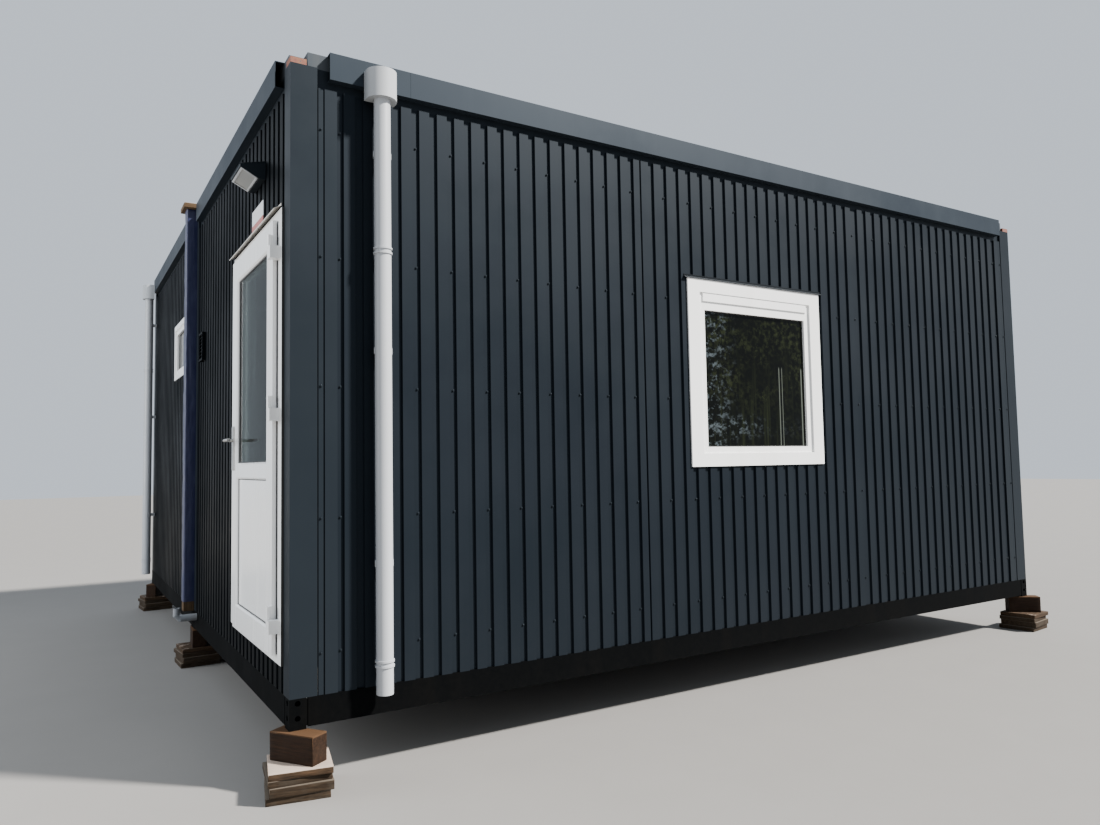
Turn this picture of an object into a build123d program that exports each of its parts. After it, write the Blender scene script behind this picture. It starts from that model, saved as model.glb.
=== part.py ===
from build123d import *
import os
import math

# A portable garden home made of two steel-framed modules that stand side by side.
# All sizes are in mm. While it is built, the near left corner of the steel frame is at
# x 0 and y 0, and the ground is at z 0. X runs along the long front, Y towards the back.

# Modules
building_length = 6000
module_width = 2830
module_gap = 30

# Supports, from the ground up: four layers of planks and a block on edge
plank_length = 270
plank_depth = 265
plank_thicknesses = (33, 42, 29, 30)
block_length = 240
block_width = 95
block_height = 126

# Base frame
base_height = 138
casting_side = 75
casting_wall = 8
casting_hole_radius = 12.5
casting_hole_height = 50
casting_hole_pitch = 66
hole_sides = 10
beam_lift = 9
beam_flange = 50
beam_web = 5
beam_weld_gap = 9
beam_weld_inset = 6
joist_width = 45
joist_wall = 4
joist_pitch = 600

# Corner posts and the frame on top of the walls
post_front = 125
post_side = 107
post_wall = 4
post_top = 3059
rail_bottom = 2964
rail_width = 70
rail_wall = 4
corner_plate_side = 75
corner_plate_height = 28
corner_plate_hole_radius = 20

# Floor, ceiling and roof
floor_thickness = 125
ceiling_thickness = 34
roof_thickness = 72
roof_notch = 83
joint_cover_width = 110
joint_cover_thickness = 4
seam_board_width = 200
seam_board_thickness = 36
seam_board_overhang = 100

# Ribbed steel cladding
sheet_thickness = 2
rib_pitch = 97
first_crest = 33
rib_flat = 55
rib_run = 4
rib_depth = 12
end_trim = 6
first_lap = 2054
second_lap = 4027
lap_flat = 34

# Folded strips beside the corner posts on the long sides
flashing_lip = 23
flashing_lip_depth = 3
flashing_groove = 6
flashing_groove_depth = 8
flashing_flat = 59

# Fascia, folded from sheet
fascia_height = 131
fascia_stand_off = 30
fascia_sheet = 3
fascia_from_corner = 177
fascia_top_flange = 75
fascia_short_sheet = 406
fascia_butt_gap = 1

# Door in the near end wall, measured from the near corner and the base frame's bottom
door_frame_start = 115
door_frame_width = 1150
door_frame_height = 2137
door_frame_proud = 10
door_frame_depth = 80
door_frame_face = 94
door_frame_head = 60
door_frame_sill = 52
door_stop = 21
door_stop_depth = 15
door_clearance = 10
leaf_stand_off = 5
leaf_flap_overlap = 14
leaf_flap_thickness = 18
leaf_depth = 73
leaf_stile = 130
leaf_top_rail = 126
leaf_mid_rail = 86
leaf_mid_rail_height = 811
leaf_bottom_rail = 116
leaf_bead = 8
door_glass_thickness = 24
door_panel_thickness = 24
pane_setback = 16
hinge_axis_out = 17
hinge_axis_side = 7
hinge_radius = 9
hinge_pin_radius = 5
hinge_running_gap = 0.1
hinge_height = 120
hinge_knuckle_gap = 1
hinge_plate_thickness = 4
hinge_plate_width = 50
hinge_arm_lap = 2
hinge_heights = (107, 1087, 1857)
handle_plate_width = 50
handle_plate_height = 250
handle_plate_thickness = 8
handle_plate_bottom = 857
handle_edge = 55
lever_height = 170
lever_radius = 9
lever_neck = 42
lever_length = 122
lever_sides = 16

# Front window, measured from the near corner and the base frame's bottom
window_start = 2388
window_width = 1178
window_sill = 1130
window_height = 1160
window_frame_face = 95
window_frame_bottom = 80
window_frame_proud = 10
window_frame_depth = 70
sash_face = 46
sash_top = 108
sash_bottom = 40
sash_setback = 12
vent_strip_height = 54
vent_strip_proud = 8
vent_strip_inset = 30
window_glass_thickness = 24
window_glass_setback = 18

# Small window in the far module's end wall, measured from that module's near edge
small_window_start = 380
small_window_width = 740
small_window_sill = 1940
small_window_height = 470
small_window_face = 42
small_sash_face = 38

# Rain caps over the door and the front window
cap_thickness = 3
door_cap_reach = 38
door_cap_drop = 20
window_cap_reach = 16
window_cap_drop = 9
cap_upstand = 16
cap_overhang = 25

# Timber batten and cloth wrap over the joint between the modules
batten_width = 92
batten_depth = 72
batten_bottom = 130
wrap_thickness = 4
wrap_clearance = 0.3
wrap_bottom = 200

# Rainwater head and downpipe, one at the front and one at the far end wall
head_width = 150
head_straight = 60
head_height = 143
head_bottom = 2935
head_wall = 4
pipe_radius = 40
pipe_wall = 3
pipe_stand_off = 72
pipe_bottom = 115
pipe_collar_radius = 45
pipe_collar_height = 9
pipe_collar_pitch = 23
pipe_collar_heights = (240, 2178)
bracket_heights = (700, 1700, 2650)
bracket_width = 30
bracket_thickness = 3
bracket_foot = 16
bracket_sides = 12
front_pipe_along = 418
end_pipe_from_corner = 165

# Waste pipes under the joint
waste_radius = 25
waste_wall = 3
waste_height = 105
elbow_height = 62
stub_reach = 110
stub_offset = -170
elbow_reach = 100
elbow_rise = 75
elbow_bend = 25
elbow_offset = 100
waste_sides = 24

# Wall lamp over the door, and a vent measured from the joint back to the near corner
lamp_off_centre = 60
lamp_width = 250
lamp_height = 94
lamp_reach = 125
lamp_foot = 32
lamp_lip = 14
lamp_rise = 50
lamp_lens_thickness = 6
lamp_lens_margin = 12
vent_width = 150
vent_height = 200
vent_depth = 22
vent_bottom = 1940
vent_start = 460
vent_blades = 7
vent_frame = 14
vent_blade_thickness = 2
vent_blade_setback = 2

# Worked out from the sizes above
building_width = 2 * module_width + module_gap
support_height = sum(plank_thicknesses) + block_height
far_module = module_width + module_gap
core_face = rib_depth + sheet_thickness
floor_top = base_height + floor_thickness
ceiling_bottom = rail_bottom - ceiling_thickness
roof_top = post_top + roof_thickness
joint_centre = module_width + module_gap / 2
door_frame_end = door_frame_start + door_frame_width
door_frame_top = floor_top + door_frame_height
door_centre = door_frame_start + door_frame_width / 2
leaf_start = door_frame_start + door_frame_face - leaf_flap_overlap
leaf_end = door_frame_end - door_frame_face + leaf_flap_overlap
leaf_bottom = floor_top + door_frame_sill - leaf_flap_overlap
leaf_top = door_frame_top - door_frame_head + leaf_flap_overlap
leaf_back_of_flap = -door_frame_proud - leaf_stand_off
leaf_face = leaf_back_of_flap - leaf_flap_thickness
hinge_x = leaf_face - hinge_axis_out
hinge_y = leaf_start - hinge_axis_side
fascia_bottom = roof_top + fascia_sheet - fascia_height
lamp_centre = door_centre - lamp_off_centre
lamp_bottom = (door_frame_top + fascia_bottom - lamp_height) / 2
small_window_low = far_module + small_window_start
small_window_high = small_window_low + small_window_width


def block(x_0, x_1, y_0, y_1, z_0, z_1):
    centre = Pos((x_0 + x_1) / 2, (y_0 + y_1) / 2, (z_0 + z_1) / 2)
    return centre * Box(abs(x_1 - x_0), abs(y_1 - y_0), abs(z_1 - z_0))


def flat_sided_bar(radius, length, sides):
    # an upright bar whose flats lie on the radius, centred on the origin
    outline = RegularPolygon(radius, sides, major_radius=False)
    return extrude(outline, amount=length / 2, both=True)


def side_point(side, along, depth):
    # depth runs into the building from the outer face of the corner posts
    if side == "front":
        return (along, depth)
    if side == "back":
        return (along, building_width - depth)
    if side == "left":
        return (depth, along)
    return (building_length - depth, along)


def side_direction(side):
    if side in ("front", "back"):
        return Vector(1, 0, 0)
    return Vector(0, 1, 0)


def side_block(side, along_0, along_1, depth_0, depth_1, z_0, z_1):
    x_0, y_0 = side_point(side, along_0, depth_0)
    x_1, y_1 = side_point(side, along_1, depth_1)
    return block(x_0, x_1, y_0, y_1, z_0, z_1)


def side_prism(side, outline, z_0, z_1):
    # an upright prism from a plan outline of (along, depth) points
    points = [(*side_point(side, along, depth), z_0) for along, depth in outline]
    face = make_face(Polyline(*points, close=True))
    return extrude(face, amount=z_1 - z_0, dir=(0, 0, 1))


def side_run(side, section, along_0, along_1):
    # a level run from a section of (depth, height) points
    points = [(*side_point(side, along_0, depth), z) for depth, z in section]
    face = make_face(Polyline(*points, close=True))
    return extrude(face, amount=along_1 - along_0, dir=side_direction(side))


def module_starts():
    return (0, far_module)


def support_spots():
    # x and y of each stack, with the turns of its planks and its block in degrees
    right = building_length - casting_side / 2
    left = casting_side / 2
    near = casting_side / 2
    back = building_width - casting_side / 2
    return (
        (left, near - 45, -9.7, -55),
        (right, near - 20, 8, -42),
        (left, joint_centre, 4, 86),
        (right, joint_centre, -5, 94),
        (left, back + 10, 7, 60),
        (right, back + 20, -6, -50),
    )


def support_planks(layer):
    bottom = sum(plank_thicknesses[:layer])
    thickness = plank_thicknesses[layer]
    slip = (layer % 2) * 9 - 4
    turn = (layer % 3) * 1.8 - 1.5
    plank = Box(plank_length, plank_depth, thickness)
    level = bottom + thickness / 2
    return [
        Pos(x + slip, y - slip, level) * Rot(0, 0, plank_turn + turn) * plank
        for x, y, plank_turn, block_turn in support_spots()
    ]


def support_blocks():
    level = support_height - block_height / 2
    timber = Box(block_length, block_width, block_height)
    return [
        Pos(x, y, level) * Rot(0, 0, block_turn) * timber
        for x, y, plank_turn, block_turn in support_spots()
    ]


def base_castings():
    # hollow castings with holes in the faces that look outwards, away from the joint
    castings = []
    outer = Box(casting_side, casting_side, base_height)
    room = casting_side - 2 * casting_wall
    inner = Box(room, room, base_height - 2 * casting_wall)
    hollow = outer - inner
    drill = flat_sided_bar(casting_hole_radius, casting_side, hole_sides)
    for start in module_starts():
        for right in (False, True):
            for back in (False, True):
                x = building_length - casting_side / 2 if right else casting_side / 2
                y = start + (module_width - casting_side / 2 if back else casting_side / 2)
                casting = hollow
                y_out = casting_side / 2 if back else -casting_side / 2
                x_out = casting_side / 2 if right else -casting_side / 2
                for row in (0, 1):
                    z = casting_hole_height + row * casting_hole_pitch - base_height / 2
                    casting -= Pos(x_out, 0, z) * Rot(0, 90, 0) * drill
                    if back == (start > 0):
                        casting -= Pos(0, y_out, z) * Rot(90, 0, 0) * drill
                castings.append(Pos(x, y, support_height + base_height / 2) * casting)
    return castings


def channel_section(height, flange, wall, bottom, outer):
    # a C section that opens inwards, as (depth, height) points from its outer face
    top = bottom + height
    return (
        (outer, bottom),
        (outer + flange, bottom),
        (outer + flange, bottom + wall),
        (outer + wall, bottom + wall),
        (outer + wall, top - wall),
        (outer + flange, top - wall),
        (outer + flange, top),
        (outer, top),
    )


def base_beam(side, along_0, along_1, outer):
    # a channel whose recessed ends are welded to the corner castings
    bottom = support_height + beam_lift
    height = base_height - beam_lift
    section = channel_section(height, beam_flange, beam_web, bottom, outer)
    beam = side_run(side, section, along_0 + beam_weld_gap, along_1 - beam_weld_gap)
    weld_bottom = bottom + beam_weld_inset
    weld_top = bottom + height - beam_weld_inset
    tab = outer + beam_weld_inset + beam_web
    for start, end in ((along_0, along_0 + 2 * beam_weld_gap), (along_1 - 2 * beam_weld_gap, along_1)):
        beam += side_block(side, start, end, outer + beam_weld_inset / 2, tab, weld_bottom, weld_top)
    return beam


def base_beams():
    beams = []
    near = casting_side
    far = building_length - casting_side
    for start in module_starts():
        beams.append(base_beam("front", near, far, start))
        beams.append(base_beam("back", near, far, building_width - start - module_width))
        for side in ("left", "right"):
            beams.append(base_beam(side, start + casting_side, start + module_width - casting_side, 0))
    return beams


def floor_joists():
    joists = []
    bottom = support_height + beam_lift + beam_web
    top = support_height + base_height - beam_web
    count = int((building_length - 2 * casting_side) // joist_pitch)
    first = (building_length - (count - 1) * joist_pitch) / 2
    for start in module_starts():
        for index in range(count):
            x = first + index * joist_pitch
            outline = (
                (x, bottom),
                (x + joist_width, bottom),
                (x + joist_width, bottom + joist_wall),
                (x + joist_wall, bottom + joist_wall),
                (x + joist_wall, top - joist_wall),
                (x + joist_width, top - joist_wall),
                (x + joist_width, top),
                (x, top),
            )
            points = [(px, start + beam_web, pz) for px, pz in outline]
            face = make_face(Polyline(*points, close=True))
            joists.append(extrude(face, amount=module_width - 2 * beam_web, dir=(0, 1, 0)))
    return joists


def module_slab(start, outer_inset, notch_x, notch_y, z_0, z_1):
    # a slab over one module, flush on the joint side, with its corners notched
    near_inset = outer_inset if start == 0 else 0
    far_inset = 0 if start == 0 else outer_inset
    y_0 = start + near_inset
    y_1 = start + module_width - far_inset
    slab = block(outer_inset, building_length - outer_inset, y_0, y_1, z_0, z_1)
    for x in (0, building_length - notch_x):
        for y in (start, start + module_width - notch_y):
            slab -= block(x, x + notch_x, y, y + notch_y, z_0 - 1, z_1 + 1)
    return slab


def floors():
    bottom = support_height + base_height
    top = support_height + floor_top
    return [module_slab(start, core_face, post_front, post_side, bottom, top) for start in module_starts()]


def ceilings():
    bottom = support_height + ceiling_bottom
    top = support_height + rail_bottom
    return [module_slab(start, core_face, post_front, post_side, bottom, top) for start in module_starts()]


def roof_decks():
    bottom = support_height + post_top
    top = support_height + roof_top
    return [module_slab(start, core_face, roof_notch, roof_notch, bottom, top) for start in module_starts()]


def joint_covers():
    # trims over the joint inside, on the floor and under the ceiling
    half = joint_cover_width / 2
    floor_level = support_height + floor_top
    ceiling_level = support_height + ceiling_bottom
    y_0 = joint_centre - half
    y_1 = joint_centre + half
    x_1 = building_length - post_front
    return [
        block(post_front, x_1, y_0, y_1, floor_level, floor_level + joint_cover_thickness),
        block(post_front, x_1, y_0, y_1, ceiling_level - joint_cover_thickness, ceiling_level),
    ]


def corner_posts():
    posts = []
    height = post_top - base_height
    tube = Box(post_front, post_side, height)
    tube -= Box(post_front - 2 * post_wall, post_side - 2 * post_wall, height)
    level = support_height + base_height + height / 2
    for start in module_starts():
        for x in (post_front / 2, building_length - post_front / 2):
            for y in (start + post_side / 2, start + module_width - post_side / 2):
                posts.append(Pos(x, y, level) * tube)
    return posts


def corner_plates():
    plates = []
    plate = Box(corner_plate_side, corner_plate_side, corner_plate_height)
    plate -= flat_sided_bar(corner_plate_hole_radius, corner_plate_height, hole_sides)
    half = corner_plate_side / 2
    level = support_height + post_top + corner_plate_height / 2
    for start in module_starts():
        for x in (half, building_length - half):
            for y in (start + half, start + module_width - half):
                plates.append(Pos(x, y, level) * plate)
    return plates


def top_rails():
    rails = []
    bottom = support_height + rail_bottom
    height = post_top - rail_bottom
    for start in module_starts():
        front_depth = start + (core_face if start == 0 else 0)
        back_depth = building_width - start - module_width + (0 if start == 0 else core_face)
        for side, depth in (("front", front_depth), ("back", back_depth)):
            section = channel_section(height, rail_width, rail_wall, bottom, depth)
            rails.append(side_run(side, section, post_front, building_length - post_front))
        for side in ("left", "right"):
            section = channel_section(height, rail_width, rail_wall, bottom, core_face)
            rails.append(side_run(side, section, start + post_side, start + module_width - post_side))
    return rails


def wall_core(side, along_0, along_1, z_0, z_1):
    inner = post_side if side in ("front", "back") else post_front
    return side_block(side, along_0, along_1, core_face, inner, z_0, z_1)


def front_wall():
    z_0 = support_height + floor_top
    z_1 = support_height + ceiling_bottom
    wall = wall_core("front", post_front, building_length - post_front, z_0, z_1)
    return [wall - front_window_hole()]


def front_window_hole():
    z_0 = support_height + window_sill
    end = window_start + window_width
    return side_block("front", window_start, end, -post_side, 2 * post_side, z_0, z_0 + window_height)


def small_window_hole():
    z_0 = support_height + small_window_sill
    z_1 = z_0 + small_window_height
    return side_block("left", small_window_low, small_window_high, -post_front, 2 * post_front, z_0, z_1)


def door_hole():
    # the hole in the cladding, which starts at the corner post
    z_0 = support_height + floor_top
    z_1 = support_height + door_frame_top
    return side_block("left", 0, door_frame_end, -post_front, 2 * post_front, z_0, z_1)


def back_wall():
    z_0 = support_height + floor_top
    z_1 = support_height + ceiling_bottom
    return [wall_core("back", post_front, building_length - post_front, z_0, z_1)]


def left_walls():
    z_0 = support_height + floor_top
    z_1 = support_height + ceiling_bottom
    near = wall_core("left", door_frame_end, module_width - post_side, z_0, z_1)
    far = wall_core("left", far_module + post_side, building_width - post_side, z_0, z_1)
    return [near, far - small_window_hole()]


def over_door_wall():
    z_0 = support_height + door_frame_top
    z_1 = support_height + ceiling_bottom
    return [wall_core("left", post_side, door_frame_end, z_0, z_1)]


def right_walls():
    z_0 = support_height + floor_top
    z_1 = support_height + ceiling_bottom
    return [
        wall_core("right", start + post_side, start + module_width - post_side, z_0, z_1)
        for start in module_starts()
    ]


def crests(start, end, first, laps):
    # the raised flats between start and end, as (from, to) pairs; each lap begins a new sheet
    rows = []
    sheet_starts = (first, *(lap for lap in laps if first < lap < end))
    sheet_ends = (*sheet_starts[1:], end)
    for sheet_start, sheet_end in zip(sheet_starts, sheet_ends):
        last = sheet_end - 3 * rib_run
        for index in range(int((last - sheet_start) // rib_pitch) + 1):
            low = sheet_start + index * rib_pitch
            rows.append((low, min(low + rib_flat, last)))
    return [(low, high) for low, high in rows if high - low >= lap_flat - rib_run]


def sheet_outline(start, end, rows):
    # the closed plan outline of the skin: ribbed in front, with its ribs filled and flat behind
    outline = [(start, core_face), (start, rib_depth)]
    for low, high in rows:
        outline += [(low - rib_run, rib_depth), (low, 0), (high, 0), (high + rib_run, rib_depth)]
    outline += [(end, rib_depth), (end, core_face)]
    return outline


def cladding(side, start, end, first, laps):
    outline = sheet_outline(start, end, crests(start, end, first, laps))
    return side_prism(side, outline, support_height + base_height, support_height + rail_bottom)


def long_side_start():
    return post_front + flashing_groove + flashing_lip + flashing_groove + flashing_flat


def front_cladding():
    start = long_side_start()
    first = start + first_crest
    sheet = cladding("front", start, building_length - start, first, (first_lap, second_lap))
    return [sheet - front_window_hole()]


def back_cladding():
    start = long_side_start()
    first = start + first_crest
    return [cladding("back", start, building_length - start, first, (first_lap, second_lap))]


def end_cladding(side, module_start):
    start = module_start + post_side + end_trim
    end = module_start + module_width - post_side - end_trim
    return cladding(side, start, end, start + first_crest, ())


def left_cladding():
    near = end_cladding("left", 0) - door_hole()
    far = end_cladding("left", far_module) - small_window_hole()
    return [near, far]


def right_cladding():
    return [end_cladding("right", start) for start in module_starts()]


def edge_flashings():
    # folded strips that close the cladding beside each corner post
    strips = []
    a = post_front + flashing_groove
    b = a + flashing_lip
    c = b + flashing_groove
    d = c + flashing_flat
    outline = (
        (a, core_face),
        (a, flashing_lip_depth),
        (b, flashing_lip_depth),
        (b, flashing_groove_depth),
        (c, flashing_groove_depth),
        (c, 0),
        (d, 0),
        (d, core_face),
    )
    mirrored = tuple((building_length - along, depth) for along, depth in outline)
    z_0 = support_height + base_height
    z_1 = support_height + rail_bottom
    for side in ("front", "back"):
        for points in (outline, mirrored):
            strips.append(side_prism(side, points, z_0, z_1))
    return strips


def fascia_section():
    # a folded channel: bottom return, face and a top flange that lies on the roof
    bottom = support_height + fascia_bottom
    top = bottom + fascia_height
    out = -fascia_stand_off
    return (
        (core_face, bottom),
        (out, bottom),
        (out, top),
        (core_face + fascia_top_flange, top),
        (core_face + fascia_top_flange, top - fascia_sheet),
        (out + fascia_sheet, top - fascia_sheet),
        (out + fascia_sheet, bottom + fascia_sheet),
        (core_face, bottom + fascia_sheet),
    )


def fascias():
    section = fascia_section()
    low = fascia_from_corner
    high = building_length - fascia_from_corner
    butt = low + fascia_short_sheet
    pieces = [
        side_run("front", section, low, butt),
        side_run("front", section, butt + fascia_butt_gap, high),
        side_run("back", section, low, high),
    ]
    for side in ("left", "right"):
        for start in module_starts():
            end = start + module_width - fascia_from_corner
            pieces.append(side_run(side, section, start + fascia_from_corner, end))
    return pieces


def roof_seam_board():
    half = seam_board_width / 2
    level = support_height + roof_top
    return [
        block(
            -seam_board_overhang,
            building_length + seam_board_overhang,
            joint_centre - half,
            joint_centre + half,
            level,
            level + seam_board_thickness,
        )
    ]


def joint_battens():
    half = batten_width / 2
    z_0 = support_height + batten_bottom
    z_1 = support_height + roof_top
    return [
        side_block(side, joint_centre - half, joint_centre + half, -batten_depth, 0, z_0, z_1)
        for side in ("left", "right")
    ]


def joint_wrap(side):
    # a cloth wrap round the three open faces of the batten
    inner = batten_width / 2 + wrap_clearance
    outer = inner + wrap_thickness
    back = batten_depth + wrap_clearance
    front = back + wrap_thickness
    outline = [
        (joint_centre - outer, -wrap_clearance),
        (joint_centre - outer, -front),
        (joint_centre + outer, -front),
        (joint_centre + outer, -wrap_clearance),
        (joint_centre + inner, -wrap_clearance),
        (joint_centre + inner, -back),
        (joint_centre - inner, -back),
        (joint_centre - inner, -wrap_clearance),
    ]
    top = support_height + roof_top - wrap_clearance
    return [side_prism(side, outline, support_height + wrap_bottom, top)]


def ring(side, along_0, along_1, depth_0, depth_1, z_0, z_1, face_start, face_end, face_low, face_high):
    outer = side_block(side, along_0, along_1, depth_0, depth_1, z_0, z_1)
    hole = side_block(
        side,
        along_0 + face_start,
        along_1 - face_end,
        depth_0 - 1,
        depth_1 + 1,
        z_0 + face_low,
        z_1 - face_high,
    )
    return outer - hole


def front_window_frame():
    z_0 = support_height + window_sill
    depth_0 = -window_frame_proud
    frame = ring(
        "front",
        window_start,
        window_start + window_width,
        depth_0,
        depth_0 + window_frame_depth,
        z_0,
        z_0 + window_height,
        window_frame_face,
        window_frame_face,
        window_frame_bottom,
        window_frame_bottom,
    )
    return [frame]


def sash_box():
    low = window_start + window_frame_face
    high = window_start + window_width - window_frame_face
    z_0 = support_height + window_sill + window_frame_bottom
    z_1 = support_height + window_sill + window_height - window_frame_bottom
    return low, high, z_0, z_1


def front_window_sash():
    low, high, z_0, z_1 = sash_box()
    depth_0 = sash_setback - window_frame_proud
    depth_1 = window_frame_depth - window_frame_proud
    sash = ring("front", low, high, depth_0, depth_1, z_0, z_1, sash_face, sash_face, sash_bottom, sash_top)
    return [sash]


def front_window_vent():
    # a vent strip on the face of the sash's top rail
    low, high, z_0, z_1 = sash_box()
    low += vent_strip_inset
    high -= vent_strip_inset
    depth_1 = sash_setback - window_frame_proud
    z_0 = z_1 - vent_strip_height
    return [side_block("front", low, high, depth_1 - vent_strip_proud, depth_1, z_0, z_1)]


def front_window_glass():
    low, high, z_0, z_1 = sash_box()
    depth_0 = sash_setback - window_frame_proud + window_glass_setback
    pane = side_block(
        "front",
        low + sash_face,
        high - sash_face,
        depth_0,
        depth_0 + window_glass_thickness,
        z_0 + sash_bottom,
        z_1 - sash_top,
    )
    return [pane]


def small_window_frame():
    z_0 = support_height + small_window_sill
    depth_0 = -window_frame_proud
    face = small_window_face
    top = z_0 + small_window_height
    depth_1 = depth_0 + window_frame_depth
    faces = (face, face, face, face)
    return [ring("left", small_window_low, small_window_high, depth_0, depth_1, z_0, top, *faces)]


def small_sash_box():
    low = small_window_low + small_window_face
    high = small_window_high - small_window_face
    z_0 = support_height + small_window_sill + small_window_face
    z_1 = support_height + small_window_sill + small_window_height - small_window_face
    return low, high, z_0, z_1


def small_window_sash():
    low, high, z_0, z_1 = small_sash_box()
    depth_0 = sash_setback - window_frame_proud
    depth_1 = window_frame_depth - window_frame_proud
    faces = (small_sash_face, small_sash_face, small_sash_face, small_sash_face)
    return [ring("left", low, high, depth_0, depth_1, z_0, z_1, *faces)]


def small_window_glass():
    low, high, z_0, z_1 = small_sash_box()
    low += small_sash_face
    high -= small_sash_face
    z_0 += small_sash_face
    z_1 -= small_sash_face
    depth_0 = sash_setback - window_frame_proud + window_glass_setback
    return [side_block("left", low, high, depth_0, depth_0 + window_glass_thickness, z_0, z_1)]


def rain_cap(side, reach, drop, along_0, along_1, bottom):
    # a thin folded sheet with a flange on the wall, which falls away to a drip edge
    section = (
        (0, bottom),
        (-reach, bottom - drop),
        (-reach, bottom - drop + cap_thickness),
        (-cap_thickness, bottom + cap_thickness),
        (-cap_thickness, bottom + cap_upstand),
        (0, bottom + cap_upstand),
    )
    return side_run(side, section, along_0, along_1)


def rain_caps():
    door_cap = rain_cap(
        "left",
        door_cap_reach,
        door_cap_drop,
        door_frame_start,
        door_frame_end,
        support_height + door_frame_top + door_cap_drop,
    )
    window_cap = rain_cap(
        "front",
        window_cap_reach,
        window_cap_drop,
        window_start - cap_overhang,
        window_start + window_width + cap_overhang,
        support_height + window_sill + window_height + window_cap_drop,
    )
    return [door_cap, window_cap]


def door_frame():
    z_0 = support_height + floor_top
    z_1 = support_height + door_frame_top
    depth_0 = -door_frame_proud
    depth_1 = depth_0 + door_frame_depth
    faces = (door_frame_face, door_frame_face, door_frame_sill, door_frame_head)
    frame = ring("left", door_frame_start, door_frame_end, depth_0, depth_1, z_0, z_1, *faces)
    stops = tuple(face + door_stop for face in faces)
    inner_ring = ring(
        "left",
        door_frame_start + 1,
        door_frame_end - 1,
        depth_1 - door_stop_depth,
        depth_1,
        z_0 + 1,
        z_1 - 1,
        *(stop - 1 for stop in stops),
    )
    return [frame + inner_ring]


def leaf_openings(depth_0, depth_1, grow):
    low = leaf_start + leaf_stile - grow
    high = leaf_end - leaf_stile + grow
    panel_bottom = support_height + leaf_bottom + leaf_bottom_rail - grow
    panel_top = support_height + leaf_bottom + leaf_mid_rail_height + grow
    glass_bottom = panel_top - grow + leaf_mid_rail - grow
    glass_top = support_height + leaf_top - leaf_top_rail + grow
    panel = side_block("left", low, high, depth_0, depth_1, panel_bottom, panel_top)
    glass = side_block("left", low, high, depth_0, depth_1, glass_bottom, glass_top)
    return panel, glass


def door_leaf():
    # an outward opening leaf: a body inside the frame and a flap that laps over the frame's face
    z_0 = support_height + leaf_bottom
    z_1 = support_height + leaf_top
    flap = side_block("left", leaf_start, leaf_end, leaf_face, leaf_back_of_flap, z_0, z_1)
    inset = leaf_flap_overlap + door_clearance
    body = side_block(
        "left",
        leaf_start + inset,
        leaf_end - inset,
        leaf_back_of_flap,
        leaf_face + leaf_depth,
        z_0 + inset,
        z_1 - inset,
    )
    leaf = flap + body
    for opening in leaf_openings(leaf_face - 1, leaf_face + leaf_depth + 1, 0):
        leaf -= opening
    rims = leaf.edges().filter_by_position(Axis.X, leaf_face - 0.1, leaf_face + 0.1)
    inner = [edge for edge in rims if leaf_start + 1 < edge.center().Y < leaf_end - 1]
    inner = [edge for edge in inner if z_0 + 1 < edge.center().Z < z_1 - 1]
    return [chamfer(inner, leaf_bead)]


def door_panel():
    depth = leaf_face + pane_setback
    panel, glass = leaf_openings(depth, depth + door_panel_thickness, 0)
    return [panel]


def door_glass():
    depth = leaf_face + pane_setback
    panel, glass = leaf_openings(depth, depth + door_glass_thickness, 0)
    return [glass]


def hinge_levels():
    return [support_height + leaf_bottom + height for height in hinge_heights]


def frame_hinges():
    # the lower knuckle with its pin and the block that carries it on the frame
    hinges = []
    half = hinge_height / 2
    for level in hinge_levels():
        knuckle = Pos(hinge_x, hinge_y, level + half / 2) * Cylinder(hinge_radius, half)
        outer = hinge_x - hinge_radius
        carrier = block(outer, -door_frame_proud, hinge_y - hinge_plate_width, hinge_y, level, level + half)
        carrier -= block(hinge_x - 2 * hinge_radius, hinge_x, hinge_y, hinge_y + 1, level, level + half)
        pin_top = level + hinge_height - hinge_knuckle_gap
        pin_length = pin_top - level
        pin = Pos(hinge_x, hinge_y, level + pin_length / 2) * Cylinder(hinge_pin_radius, pin_length)
        hinges.append(knuckle + carrier + pin)
    return hinges


def leaf_hinges():
    # the upper knuckle, bored for the pin, and its plate on the leaf
    hinges = []
    half = hinge_height / 2
    for level in hinge_levels():
        bottom = level + half + hinge_knuckle_gap
        height = half - hinge_knuckle_gap
        knuckle = Pos(hinge_x, hinge_y, bottom + height / 2) * Cylinder(hinge_radius, height)
        plate = block(
            leaf_face - hinge_plate_thickness,
            leaf_face,
            hinge_y + hinge_radius,
            hinge_y + hinge_plate_width,
            bottom,
            bottom + height,
        )
        arm_end = hinge_y + hinge_radius + hinge_arm_lap
        arm = block(hinge_x - hinge_radius, leaf_face, hinge_y, arm_end, bottom, bottom + height)
        arm -= block(leaf_face - 0.1, leaf_face + 1, hinge_y - 1, leaf_start, bottom, bottom + height)
        bore_radius = hinge_pin_radius + hinge_running_gap
        bore = Pos(hinge_x, hinge_y, bottom + height / 2) * Cylinder(bore_radius, height + 2)
        hinges.append(knuckle + plate + arm - bore)
    return hinges


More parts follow.
